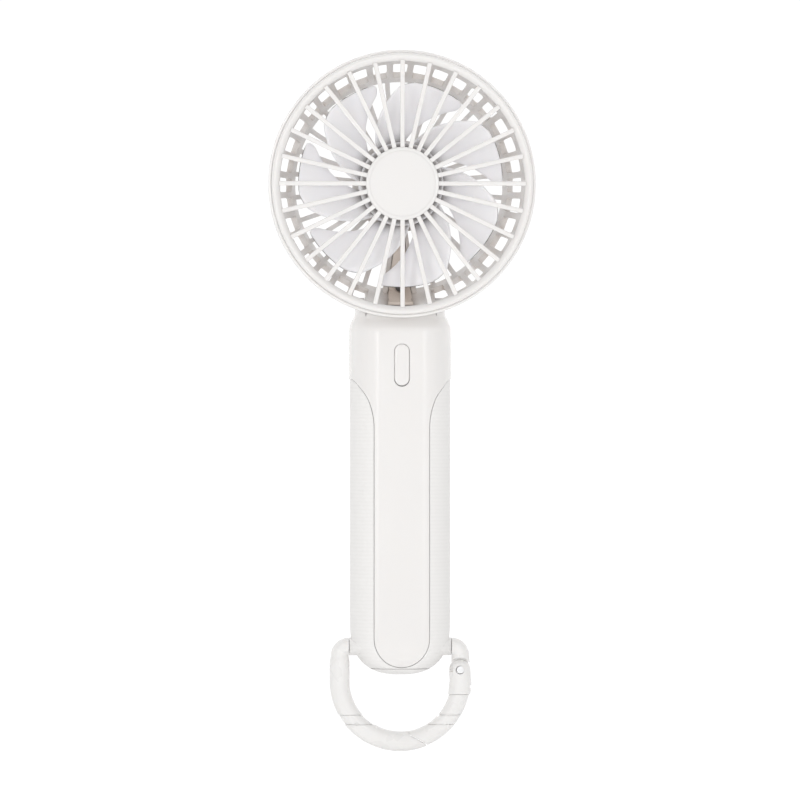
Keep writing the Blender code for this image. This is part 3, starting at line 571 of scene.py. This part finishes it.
def bowl_inside():
    wall = [(43.0, -11.0), (42.0, -5.6), (40.2, -1.1), (37.6, 3.4), (35.9, 7.4), (33.8, 10.8)]
    floor = [(32.4, 11.7), (30.6, PLATE_FRONT_Y), (4.0, PLATE_FRONT_Y), (4.0, PLATE_REAR_Y)]
    rim = [(45.0, -16.8), (45.0, -14.1), (43.1, -14.1)]
    return rim + smoothed(wall) + floor


def spoke_slots(inner, outer, low, high):
    """Openings between straight radial spokes that stand midway between those of the grille."""
    bm = bmesh.new()
    pitch = 360 / SPOKES
    for index in range(SPOKES):
        start = 90 + (index + 0.5) * pitch
        outline = []
        for radius, order in ((inner, (0, 1)), (outer, (4, 3, 2, 1, 0))):
            shy = math.degrees(math.asin(SPOKE_WIDTH / 2 / radius))
            for step in order:
                share = step if radius == inner else step / 4
                x, z = polar(radius, start + shy + (pitch - 2 * shy) * share)
                outline.append((x, HEAD_Z + z))
        prism(outline, low, high, bm)
    return bm


def window_cutter(angle, bm):
    """Rounded opening that widens outwards, at an angle round the bowl."""
    half = math.radians(WINDOW_ANGLE / 2) * WINDOW_R
    flat = [(-half, WINDOW_FRONT_Y), (half, WINDOW_FRONT_Y), (half, WINDOW_REAR_Y), (-half, WINDOW_REAR_Y)]
    outline = rounded(flat, WINDOW_CORNER)
    rings = []
    for radius in (34.0, 50.0):
        ring = []
        for across, y in outline:
            x, z = polar(radius, angle + math.degrees(across / WINDOW_R))
            ring.append((x, y, HEAD_Z + z))
        rings.append(ring)
    loft(rings, bm)


def strut_half(radius):
    """Half width of the wire channel at a distance below the fan axis."""
    return 2.45 + 0.15 * (radius - 14)


def cover_half(radius):
    """Half width of the cover's seat at a distance below the fan axis."""
    return 2.4 + 0.124 * (radius - 24.3)


def radial_loft(outline, half_width):
    """Loft across X of a (y, distance below the fan axis) outline, widening with the distance."""
    sides = []
    for side in (-1, 1):
        sides.append([(side * half_width(radius), y, HEAD_Z - radius) for y, radius in outline])
    return loft(sides)


def neck_shape():
    """Spigot whose top follows the mid-line of the bowl's wall."""
    wide = SPIGOT_HALF[0]
    outlines = []
    for y, radius in NECK_TOP:
        top = [(x, y, HEAD_Z - math.sqrt(radius ** 2 - x ** 2)) for x in frange(wide, -wide, 13)]
        outlines.append([(-wide, y, SPIGOT_LOW + 2.8), (wide, y, SPIGOT_LOW + 2.8)] + top)
    return loft(outlines)


def build_housing():
    body = mesh_object("head_housing_fine", turned(bowl_outside() + bowl_inside()[::-1], 144, HEAD_CENTRE))
    windows = bmesh.new()
    for index in range(WINDOWS):
        angle = index * 360 / WINDOWS
        if abs(angle - 270) >= 1.5 * 360 / WINDOWS:
            window_cutter(angle, windows)
    combine(body, windows)
    combine(body, spoke_slots(MOTOR_DISC_R, REAR_OPENING_R, 4.6, PLATE_REAR_Y + 2))
    strut = [(CHANNEL_FRONT_Y, 14.5), (12.6, 14.5), (12.6, 33.2), (8.0, 36.4), (CHANNEL_FRONT_Y, 38.4)]
    combine(body, radial_loft(strut, strut_half), "UNION")
    combine(body, neck_shape(), "UNION")
    ledge_y = CHANNEL_FRONT_Y + COVER_THICKNESS + GAP
    ledge = [(0, 12), (ledge_y, 12), (ledge_y, 36.9), (0, 38.5)]
    combine(body, radial_loft(ledge, lambda radius: cover_half(radius) + 0.2))
    groove = [(ledge_y - 1, 12), (CHANNEL_FLOOR_Y, 12), (CHANNEL_FLOOR_Y, 32.6), (ledge_y - 1, 36.4)]
    combine(body, radial_loft(groove, lambda radius: cover_half(radius) - 0.3))
    # The bowl's finish paints shade deep inside the head.
    piece(body, "handle", "white_plastic", "head_housing", look="bowl_plastic")


def build_wire_cover():
    """Plate over the wire channel, bent forward along the wall, with a notch on either side of its foot."""
    front = CHANNEL_FRONT_Y
    rear = front + COVER_THICKNESS
    side = [(front, 15.2), (front, 36.0), (-1.0, 38.6), (-5.0, 40.5), (-5.4, 41.5), (-1.2, 39.8),
            (front - 0.1, 37.3), (rear, 36.5), (rear, 15.2)]
    cover = mesh_object("wire_cover_fine", radial_loft(side, lambda radius: cover_half(radius) - 0.12))
    centre = (0, 0, HEAD_Z - COVER_SCREW_DROP)
    seat = front - 0.25
    recess = [(0, -3), (1.9, -3), (1.9, seat), (0.9, seat), (0.9, front + 2), (0, front + 2)]
    combine(cover, turned(recess, 48, centre))
    for x in COVER_NOTCHES:
        combine(cover, rod(COVER_NOTCH_R, -9, 9, (x, 0, HEAD_Z - COVER_NOTCH_DROP)))
    # Painted shade: the white cover takes a brown finish for the shade inside the head.
    piece(cover, "handle", "white_plastic", "wire_cover", look="cover_painted_shade")


def build_grille():
    """Ring, straight spokes and the disc in front of the hub."""
    front = [(RING_R, 1.6), (44.84, 0.9), (44.6, 0.4), (44.3, 0.12), (43.95, 0.01), (43.5, 0.1), (42.9, 0.5),
             (42.2, 1.1), (42.0, 1.5), (42.05, 2.2)]
    ring = [(42.45, SPOKE_REAR_Y), (43.2, -14.4), (RING_R, -14.4)]
    bm = turned(ring + [(radius, FRONT_Y + back) for radius, back in front], 168, HEAD_CENTRE)
    front = [(0, 0.9), (11.27, 0.9), (11.27, 0.03), (11.3, 0.01), (11.42, 0), (12.1, 0.02), (12.35, 0.12),
             (12.52, 0.4), (12.58, 0.8)]
    disc = [(radius, FRONT_Y + back) for radius, back in front] + [(DISC_R, SPOKE_REAR_Y), (0, SPOKE_REAR_Y)]
    turned(disc, 128, HEAD_CENTRE, bm=bm)
    half = SPOKE_WIDTH / 2
    section = rounded([(-half, SPOKE_FRONT_Y), (half, SPOKE_FRONT_Y), (half * 0.8, SPOKE_REAR_Y),
                       (-half * 0.8, SPOKE_REAR_Y)], 0.35)
    for index in range(SPOKES):
        angle = math.radians(90 + index * 360 / SPOKES)
        rings = []
        for along in (SPOKE_REACH[0], 20.0, 30.0, SPOKE_REACH[1]):
            outline = []
            for across, y in section:
                x = along * math.cos(angle) - across * math.sin(angle)
                z = along * math.sin(angle) + across * math.cos(angle)
                outline.append((x, y, HEAD_Z + z))
            rings.append(outline)
        loft(rings, bm)
    piece(mesh_object("front_grille_fine", bm), "handle", "white_plastic", "front_grille", sharp=50)

    front = [(0, 0), (10.9, 0), (11.21, 0.01), (CAP_R, 0.04), (CAP_R, 0.8), (0, 0.8)]
    cap = turned([(radius, FRONT_Y + back) for radius, back in front], 128, HEAD_CENTRE)
    piece(mesh_object("hub_cap_fine", cap), "handle", "white_plastic", "hub_cap")


def build_rear_cap():
    base = PLATE_REAR_Y + GAP
    cap = [(0, REAR_Y), (12.6, REAR_Y), (13.6, REAR_Y - 0.2), (14.5, REAR_Y - 0.8), (15.0, REAR_Y - 1.6),
           (15.2, REAR_Y - 2.6), (15.2, base), (13.6, base), (13.6, REAR_Y - CAP_WALL),
           (0, REAR_Y - CAP_WALL)]
    shape = turned(cap, 128, HEAD_CENTRE)
    piece(mesh_object("rear_cap_fine", shape), "handle", "white_plastic", "rear_cap")


# --- rotor -----------------------------------------------------------------------------------

def blade_tip(share):
    """Tip radius, drawn in at both corners."""
    edge = max(abs(2 * share - 1) - 0.62, 0) / 0.38
    return BLADE_TIP_R - BLADE_CORNERS[share >= 0.5] * edge ** 2.2


def blade_point(step, share, blade):
    """Point of a blade's middle surface; step runs outwards, share from the rear edge to the front one."""
    radius = BLADE_ROOT_R + (blade_tip(share) - BLADE_ROOT_R) * step
    middle = BLADE_MIDDLE[1] - BLADE_LEAN * (radius - BLADE_MIDDLE[0])
    angle = middle + (share - 0.5) * BLADE_SPAN_ANGLE + blade * 360 / BLADES
    x, z = polar(radius, angle)
    camber = BLADE_CAMBER * math.sin(math.pi * share)
    return Vector((x, BLADE_REAR_Y + (BLADE_FRONT_Y - BLADE_REAR_Y) * share - camber, HEAD_Z + z))


def blade_normal(step, share, blade):
    small = 0.01
    near = min(step, 1 - small)
    along = blade_point(near + small, share, blade) - blade_point(near, share, blade)
    mid = min(max(share, small), 1 - small)
    across = blade_point(step, mid + small, blade) - blade_point(step, mid - small, blade)
    return along.cross(across).normalized()


def build_impeller():
    hub = [(0, HUB_FRONT_Y), (12.9, HUB_FRONT_Y), (13.6, HUB_FRONT_Y + 0.15), (14.15, HUB_FRONT_Y + 0.6),
           (HUB_R, HUB_FRONT_Y + 1.3), (HUB_R, 1.6), (13.0, 1.6), (13.0, HUB_FRONT_Y + 1.4),
           (3.0, HUB_FRONT_Y + 1.4), (3.0, HUB_FRONT_Y + 5), (1.8, HUB_FRONT_Y + 5), (1.8, HUB_FRONT_Y + 1),
           (0, HUB_FRONT_Y + 1)]
    bm = turned(hub, 112, HEAD_CENTRE)
    shares = [0, 0.015, 0.04, 0.08] + frange(0.14, 0.86, 15) + [0.92, 0.96, 0.985, 1]
    steps = frange(0, 0.94, 12) + [0.97, 0.985, 0.995, 1]
    for blade in range(BLADES):
        rings = []
        for step in steps:
            front, rear = [], []
            for share in shares:
                edge = 0.3 + 0.7 * math.sqrt(max(1 - abs(2 * share - 1) ** 14, 0))
                end = 0.35 + 0.65 * math.sqrt(1 - step ** 40)
                half = BLADE_THICKNESS / 2 * edge * end
                point = blade_point(step, share, blade)
                shift = blade_normal(step, share, blade) * half
                front.append(point + shift)
                rear.append(point - shift)
            rings.append(front + rear[::-1])
        loft(rings, bm)
    piece(mesh_object("impeller_fine", bm), "rotor", "blade_plastic", "impeller", sharp=60)


# --- handle ----------------------------------------------------------------------------------

def end_share(z, height, power):
    """Share of the full width that is left at height z of the rounded lower end."""
    if z >= END_CENTRE_Z:
        return 1.0
    drop = min((END_CENTRE_Z - z) / height, 1.0)
    return (1 - drop ** power) ** (1 / power)


def handle_section(z, half_width, half_depth, steps):
    """Closed section: flat front and back, elliptic sides."""
    flat = half_width * FLAT_SHARE
    right = []
    for angle in frange(-90, 90, steps + 1):
        x, y = polar(1, angle)
        right.append((flat + (half_width - flat) * x, half_depth * y, z))
    return right + [(-x, y, z) for x, y, z in reversed(right)]


def handle_body(half_width, half_depth, inset, top_rows, steps=36):
    """Handle volume, inset all round; top_rows gives (z, half width, half depth) upwards."""
    height = END_HEIGHT - inset
    heights = []
    for angle in END_ANGLES:
        heights.append(END_CENTRE_Z - height * math.sin(math.radians(angle)) ** (2 / END_POWER))
    heights += frange(END_CENTRE_Z, top_rows[0][0], 12)[:-1]
    rows = []
    for z in heights:
        wide = half_width * end_share(z, height, END_POWER)
        deep = half_depth * end_share(z, height, END_POWER + 0.6)
        rows.append(handle_section(z, wide, deep, steps))
    for z, wide, deep in top_rows:
        rows.append(handle_section(z, wide, deep, steps))
    return loft(rows)


def outer_body():
    wide = BODY_HALF_WIDTH
    deep = BODY_HALF_DEPTH
    neck = [(SHOULDER_Z + rise, wide - narrow, deep - shallow) for rise, narrow, shallow in NECK_ROWS]
    return handle_body(wide, deep, 0, smoothed(neck))


def band_outline(shy):
    """Front view of the band: a U with S-shaped upper ends, drawn narrower by shy."""
    far = BODY_HALF_WIDTH + 4
    curve = smoothed(SEAM_CURVE)
    right = [(far, NOTCH_Z - shy)]
    for index, (x, drop) in enumerate(curve):
        before = Vector(curve[max(index - 1, 0)])
        after = Vector(curve[min(index + 1, len(curve) - 1)])
        heading = (after - before).normalized()
        reach = shy * min(0.25 + drop / 14, 1)
        right.append((x + reach * heading.y, NOTCH_Z - drop + reach * heading.x))
    for angle in frange(0, 90, 25):
        x, z = polar(1, angle)
        right.append(((SEAM_X + shy) * x, SEAM_END_Z - (SEAM_END_DROP + shy) * z))
    left = [(-x, z) for x, z in reversed(right[:-1])]
    return right + left + [(-far, 10), (far, 10)]


def build_shell(name, side):
    """One half of the handle case; side is -1 in front and 1 at the back."""
    shell = mesh_object(name + "_fine", outer_body())
    combine(shell, prism(band_outline(0), -30, 30))
    wide = GRIP_HALF_WIDTH - CORE_INSET
    deep = BODY_HALF_DEPTH - CORE_INSET
    combine(shell, handle_body(wide, deep, CORE_INSET, [(NOTCH_Z + 4, wide, deep)], 18), "UNION")
    wide, deep = CASE_INSIDE_HALF
    combine(shell, handle_body(wide, deep, CORE_INSET + CORE_WALL, [(SPIGOT_LOW + 3.6, wide, deep)], 12))
    wide = SPIGOT_HALF[0] + GAP
    deep = SPIGOT_HALF[1] + GAP
    combine(shell, box((-wide, -deep, SPIGOT_LOW + 2), (wide, deep, 165)))
    outside = [(radius + 0.25, y) for radius, y in bowl_outside()]
    saddle = [(0, -30), (RIM_R + 0.25, -30)] + outside + [(36.0, 30), (0, 30)]
    combine(shell, turned(saddle, 144, HEAD_CENTRE))
    low, high = sorted((-side * 30, side * 0.06))
    combine(shell, box((-30, low, 10), (30, high, 170)))
    combine(shell, rod(BUSH_R + GAP, -25, 25, PIVOT, axis="X", segments=48))
    if side < 0:
        slot = stadium(BUTTON_WIDTH + 0.18, BUTTON_LENGTH + 0.36, BUTTON_Z - SLOT_DROP, 24)
        combine(shell, prism(slot, -16, -11))
    else:
        port = stadium(*PORT_SIZE, 0)
        combine(shell, prism([(-z, PORT_Z + x) for x, z in port], 11, 16))
    piece(shell, "handle", "white_plastic", name)


def build_band():
    wide = GRIP_HALF_WIDTH
    deep = BODY_HALF_DEPTH
    slab = mesh_object("slab", box((-30, -20, LIP_Z - 0.1), (30, 20, LIP_Z + 0.1)))
    combine(slab, handle_body(wide - LIP_DEPTH, deep - LIP_DEPTH, LIP_DEPTH, [(NOTCH_Z, wide, deep)]))
    lip = taken_shape(slab)
    band = mesh_object("grip_band_fine", handle_body(wide, deep, 0, [(NOTCH_Z + 2, wide, deep)]))
    inner_wide = wide - BAND_DEPTH
    inner_deep = deep - BAND_DEPTH
    core = handle_body(inner_wide, inner_deep, BAND_DEPTH, [(NOTCH_Z + 6, inner_wide, inner_deep)])
    combine(band, core)
    combine(band, lip)
    outline = band_outline(BAND_GROOVE)
    keep = outline[:-2]
    combine(band, prism(keep + [(keep[-1][0], 150), (keep[0][0], 150)], -30, 30))
    combine(band, rod(BUSH_R + GAP, -25, 25, PIVOT, axis="X", segments=48))
    piece(band, "handle", "band_plastic", "grip_band")


def build_button():
    front = -BODY_HALF_DEPTH - 0.1
    rings = []
    for inset, back in ((1.2, 0.0), (0.6, 0.02), (0.3, 0.08), (0.1, 0.22), (0.0, 0.45), (0.0, 3.2)):
        outline = stadium(BUTTON_WIDTH - 2 * inset, BUTTON_LENGTH - 2 * inset, BUTTON_Z, 24)
        rings.append([(x, front + back, z) for x, z in outline])
    flange = [(x, -11.3, z) for x, z in stadium(BUTTON_WIDTH + 1.6, BUTTON_LENGTH + 0.4, BUTTON_Z, 24)]
    rings += [flange, [(x, -10.6, z) for x, y, z in flange]]
    piece(mesh_object("power_button_fine", loft(rings)), "button", "white_plastic", "power_button", sharp=45)


# --- loop ------------------------------------------------------------------------------------

def elbow(side):
    """From the pivot out to the side, round the elbow and down: points (x, z) and directions."""
    points = [(side * END_X, PIVOT_Z), (side * (END_X + 0.015), PIVOT_Z)]
    headings = [(side, 0, 0)] * 2
    centre_x = LOOP_R - ELBOW_R
    for angle in frange(88, 0, 14):
        x, z = polar(1, angle)
        points.append((side * (centre_x + ELBOW_R * x), PIVOT_Z - ELBOW_R + ELBOW_R * z))
        headings.append((side * z, 0, -x))
    return points, headings


def loop_arc(start, stop, count):
    points = []
    for angle in frange(start, stop, count):
        x, z = polar(LOOP_R, angle)
        points.append((x, LOOP_Z + z))
    return points


def in_plane(points):
    return [(x, 0, z) for x, z in points]


def mark(x, z, radius, rear=9):
    """Small round cut from the front towards the back of the loop."""
    return rod(radius, -9, rear, (x, 0, z))


def nose_block():
    """Half space below the slanted nose joint."""
    turn = math.radians(NOSE_ANGLE)
    along = Vector((math.cos(turn), 0, math.sin(turn)))
    across = Vector((-math.sin(turn), 0, math.cos(turn)))
    middle = Vector((NOSE[0], 0, NOSE[1]))
    corners = []
    for step, depth in ((-14, -NOSE_GAP / 2), (14, -NOSE_GAP / 2), (14, 14), (-14, 14)):
        point = middle + along * step - across * depth
        corners.append((point.x, point.z))
    return prism(corners, -8, 8)


def surface_cut(side, low, high, depth):
    """Skin of the lower bend between two levels, on one side of the loop."""
    near, far = sorted((side * 8, side * 24))
    slab = mesh_object("slab", box((near, -6, low), (far, 6, high)))
    middle = -90 + side * 48
    combine(slab, swept(in_plane(loop_arc(middle - 32, middle + 32, 41)), [TUBE_R - depth] * 41))
    return taken_shape(slab)


def collar_cuts(side):
    """Shallow band across the lower bend, with a sharper line along its upper and lower edge."""
    low, high = COLLAR_LEVELS
    return [surface_cut(side, low, high, COLLAR_DEPTH),
            surface_cut(side, high - COLLAR_LINE, high + 0.02, 0.5),
            surface_cut(side, low - 0.02, low + COLLAR_LINE - 0.02, 0.48)]


def nose_step():
    """What the frame loses at the nose: a step across the inner side, then the slanted joint."""
    turn = math.radians(NOSE_ANGLE)
    along = Vector((math.cos(turn), math.sin(turn)))
    corner = Vector(NOSE_CORNER)
    inward = Vector((0, LOOP_Z)) - corner
    start = corner + Vector((-NOSE_GAP, -NOSE_GAP))
    stop = start + along * 16
    top = start + inward.normalized() * 7
    return prism([(start.x, start.y), (stop.x, stop.y), (stop.x + 6, top.y), (top.x, top.y)], -8, 8)


def tube_end(side, growth):
    """One end of the loop from its pivot to below the elbow: points (x, z), radii and first directions."""
    bend, headings = elbow(side)
    top = PIVOT_Z - ELBOW_R
    path = bend + [(side * LOOP_R, top - drop) for drop, radius in growth]
    radii = [END_TUBE_R - 0.15] + [END_TUBE_R] * (len(bend) - 1) + [radius for drop, radius in growth]
    return path, radii, headings


def build_loop_frame():
    cuts = collar_cuts(-1)
    path, radii, headings = tube_end(-1, FRAME_GROWTH)
    arc = loop_arc(180, 292, 57)
    ring = mesh_object("loop_frame_fine", swept(in_plane(path + arc), radii + [TUBE_R] * len(arc), headings))
    combine(ring, nose_step())
    combine(ring, mark(*NOSE_MARK))
    for cut in cuts:
        combine(ring, cut)
    combine(ring, mark(*FRAME_MARK, rear=-3.0))
    combine(ring, rod(AXLE_R + GAP, -END_X - 3.0, -END_X + 2, PIVOT, axis="X"))
    piece(ring, "loop", "loop_plastic", "loop_frame", sharp=40)


def build_loop_stub():
    path, radii, headings = tube_end(1, STUB_GROWTH)
    stub = mesh_object("loop_stub_fine", swept(in_plane(path), radii, headings))
    combine(stub, rod(HINGE_R + HINGE_GAP, -9, 9, GATE_PIN_CENTRE, segments=64))
    tongue = [(x + GATE_PIN[0], z + GATE_PIN[1]) for x, z in (polar(3.1, a) for a in frange(160, 380, 33))]
    tongue += [(GATE_PIN[0] + 2.6, 34.4), (GATE_PIN[0] - 2.6, 34.4)]
    combine(stub, prism(tongue, -TONGUE_HALF, TONGUE_HALF), "UNION")
    holes = rod(PIN_R + 0.25, -9, 9, GATE_PIN_CENTRE)
    rod(AXLE_R + GAP, END_X - 2, END_X + 3.0, PIVOT, axis="X", bm=holes)
    combine(stub, holes)
    piece(stub, "loop", "loop_plastic", "loop_stub", sharp=40)


def build_gate_pin():
    head = PIN_R + 0.12
    end = PIN_HALF_LENGTH
    half = [(0, end), (head - 0.1, end), (head, end - 0.1), (head, 3.4), (PIN_R, 3.35)]
    shape = turned([(radius, -y) for radius, y in half] + half[::-1], 48, GATE_PIN_CENTRE)
    # The pin's look paints the reflection of the white surround as a near-white colour.
    piece(mesh_object("gate_pin_fine", shape), "loop", "steel", "gate_pin", look="steel_painted_sheen")


def build_bushes():
    """Bosses on either side of the handle that the ends of the loop turn against."""
    for name, side in (("pivot_bush_left", -1), ("pivot_bush_right", 1)):
        rings = []
        for reach, deep in BUSH_ROWS:
            ring = []
            for step in range(48):
                y, z = polar(1, 360 * step / 48)
                ring.append((side * reach, deep * y, PIVOT_Z + BUSH_R * z))
            rings.append(ring)
        boss = mesh_object(name + "_fine", loft(rings))
        combine(boss, rod(AXLE_R + 0.25, -25, 25, PIVOT, axis="X"))
        piece(boss, "handle", "loop_plastic", name, sharp=50, look="band_plastic")


def build_gate():
    cuts = collar_cuts(1)
    path = []
    radii = []
    for angle in (88, 80, 70, 60, 50, 40, 30, 20, 10):
        path.append((GATE_PIN[0], GATE_PIN[1] + HINGE_R * math.sin(math.radians(angle))))
        radii.append(HINGE_R * math.cos(math.radians(angle)))
    path += [GATE_PIN, (GATE_PIN[0] + 0.1, GATE_PIN[1] - 2), (LOOP_R, LOOP_Z)]
    radii += [HINGE_R, HINGE_R, HINGE_R]
    for step, point in enumerate(loop_arc(0, -20, 9)[1:]):
        path.append(point)
        radii.append(HINGE_R - 0.02 * (step + 1))
    gate = mesh_object("gate_fine", swept(in_plane(path), radii))
    combine(gate, box((10, -9, 10), (30, 9, HINGE_STEP_Z)))
    arc = loop_arc(-4, -80, 39)
    radii = [GATE_NECK_R + (GATE_TUBE_R - GATE_NECK_R) * min(index / 12, 1) for index in range(len(arc))]
    combine(gate, swept(in_plane(arc), radii), "UNION")
    combine(gate, nose_block())
    for cut in cuts:
        combine(gate, cut)
    combine(gate, mark(*GATE_MARK))
    line_z = HINGE_STEP_Z - HINGE_LINE
    groove = [(2.9, line_z), (6, line_z), (6, HINGE_STEP_Z), (2.9, HINGE_STEP_Z)]
    combine(gate, turned(groove, 64, (20.36, 0, 0), axis="Z"))
    combine(gate, box((15, -9, 27.4), (18.1, -FORK_HALF + 0.2, 34)))
    combine(gate, box((10, -FORK_HALF, FORK_LOW_Z), (30, FORK_HALF, 40)))
    combine(gate, rod(PIN_R + 0.3, -9, 9, (GATE_PIN[0] - 0.13, 0, GATE_PIN[1] - 0.06)))
    combine(gate, mark(*HINGE_MARK))
    combine(gate, rod(1.35, 19.0, 24.6, (LOOP_R - 0.1, 0, 0), axis="Z"))
    piece(gate, "gate", "loop_plastic", "gate", sharp=40)


# --- camera, light and floor -----------------------------------------------------------------

def build_camera():
    data = bpy.data.cameras.new("camera")
    data.sensor_width = SENSOR
    data.lens = SENSOR * FIELD_DISTANCE / FIELD_WIDTH
    data.clip_end = 200
    camera = bpy.data.objects.new("camera", data)
    bpy.context.scene.collection.objects.link(camera)
    camera.location = Vector(CAMERA_PLACE) * MM
    heading = Vector(CAMERA_AIM) * MM - camera.location
    camera.rotation_euler = heading.to_track_quat("-Z", "Y").to_euler()
    bpy.context.scene.camera = camera


def area_light(name, place, aim, size, power, mirrored):
    data = bpy.data.lights.new(name, "AREA")
    data.shape = "RECTANGLE"
    data.size, data.size_y = size
    data.energy = power
    light = bpy.data.objects.new(name, data)
    bpy.context.scene.collection.objects.link(light)
    light.location = place
    heading = Vector(aim) - Vector(place)
    light.rotation_euler = heading.to_track_quat("-Z", "Y").to_euler()
    light.visible_camera = False
    light.visible_glossy = mirrored


def build_stage():
    """Pale floor that reads as plain white, with a white surround that is brighter behind the fan."""
    world = bpy.data.worlds.new("studio")
    bpy.context.scene.world = world
    world.use_nodes = True
    tree = world.node_tree
    lit = tree.nodes["Background"]
    lit.inputs["Color"].default_value = (1, 1, 1, 1)
    parts = node(tree, "ShaderNodeSeparateXYZ")
    tree.links.new(node(tree, "ShaderNodeTexCoord").outputs["Generated"], parts.inputs[0])
    tree.links.new(ramp(tree, parts.outputs["Y"], -0.15, 0.5, SKY_FRONT, SKY_REAR), lit.inputs["Strength"])
    seen = node(tree, "ShaderNodeBackground")
    seen.inputs["Color"].default_value = (1, 1, 1, 1)
    seen.inputs["Strength"].default_value = BACKDROP
    choose = node(tree, "ShaderNodeMixShader")
    rays = node(tree, "ShaderNodeLightPath")
    tree.links.new(rays.outputs["Is Camera Ray"], choose.inputs[0])
    tree.links.new(lit.outputs[0], choose.inputs[1])
    tree.links.new(seen.outputs[0], choose.inputs[2])
    tree.links.new(choose.outputs[0], tree.nodes["World Output"].inputs["Surface"])

    bm = bmesh.new()
    bmesh.ops.create_circle(bm, cap_ends=True, radius=90000, segments=64)
    floor = mesh_object("floor", bm)
    floor.location.z = -0.0003
    surface = bpy.data.materials.new("floor")
    surface.use_nodes = True
    tree = surface.node_tree
    shader = tree.nodes["Principled BSDF"]
    shader.inputs["Base Color"].default_value = (0.9, 0.9, 0.9, 1)
    shader.inputs["Roughness"].default_value = 0.7
    glow = node(tree, "ShaderNodeEmission", Strength=FLOOR_GLOW)
    blend = node(tree, "ShaderNodeMixShader")
    camera_ray = node(tree, "ShaderNodeLightPath").outputs["Is Camera Ray"]
    tree.links.new(ramp(tree, camera_ray, 0.0, 1.0, *FLOOR_GLOW_SHARE), blend.inputs[0])
    tree.links.new(shader.outputs[0], blend.inputs[1])
    tree.links.new(glow.outputs[0], blend.inputs[2])
    tree.links.new(blend.outputs[0], tree.nodes["Material Output"].inputs["Surface"])
    floor.data.materials.append(surface)

    for light in LIGHTS:
        area_light(*light)
    settings = bpy.context.scene.view_settings
    settings.view_transform = "Standard"
    settings.look = "None"


# --- assembly --------------------------------------------------------------------------------

def carry_over():
    """Give every CAD node the finish of its material slot, apart from the cover in the head, which gets a
    brown painted shade, and its screw.
    """
    looks = {"wire_cover": "cover_painted_shade", "wire_cover_screw": "dark_steel"}
    for row in frame["record"]["subparts"]:
        cad = frame["nodes"][row["node"]]
        cad.data.materials.clear()
        cad.data.materials.append(finishes[looks.get(row["node"], row["material_slot"])])


finishes = make_finishes()
bpy.context.scene.cycles.diffuse_bounces = 8
carry_over()
build_housing()
build_wire_cover()
build_grille()
build_rear_cap()
build_impeller()
build_shell("front_shell", -1)
build_shell("rear_shell", 1)
build_band()
build_button()
build_loop_frame()
build_loop_stub()
build_gate_pin()
build_bushes()
build_gate()
build_camera()
build_stage()
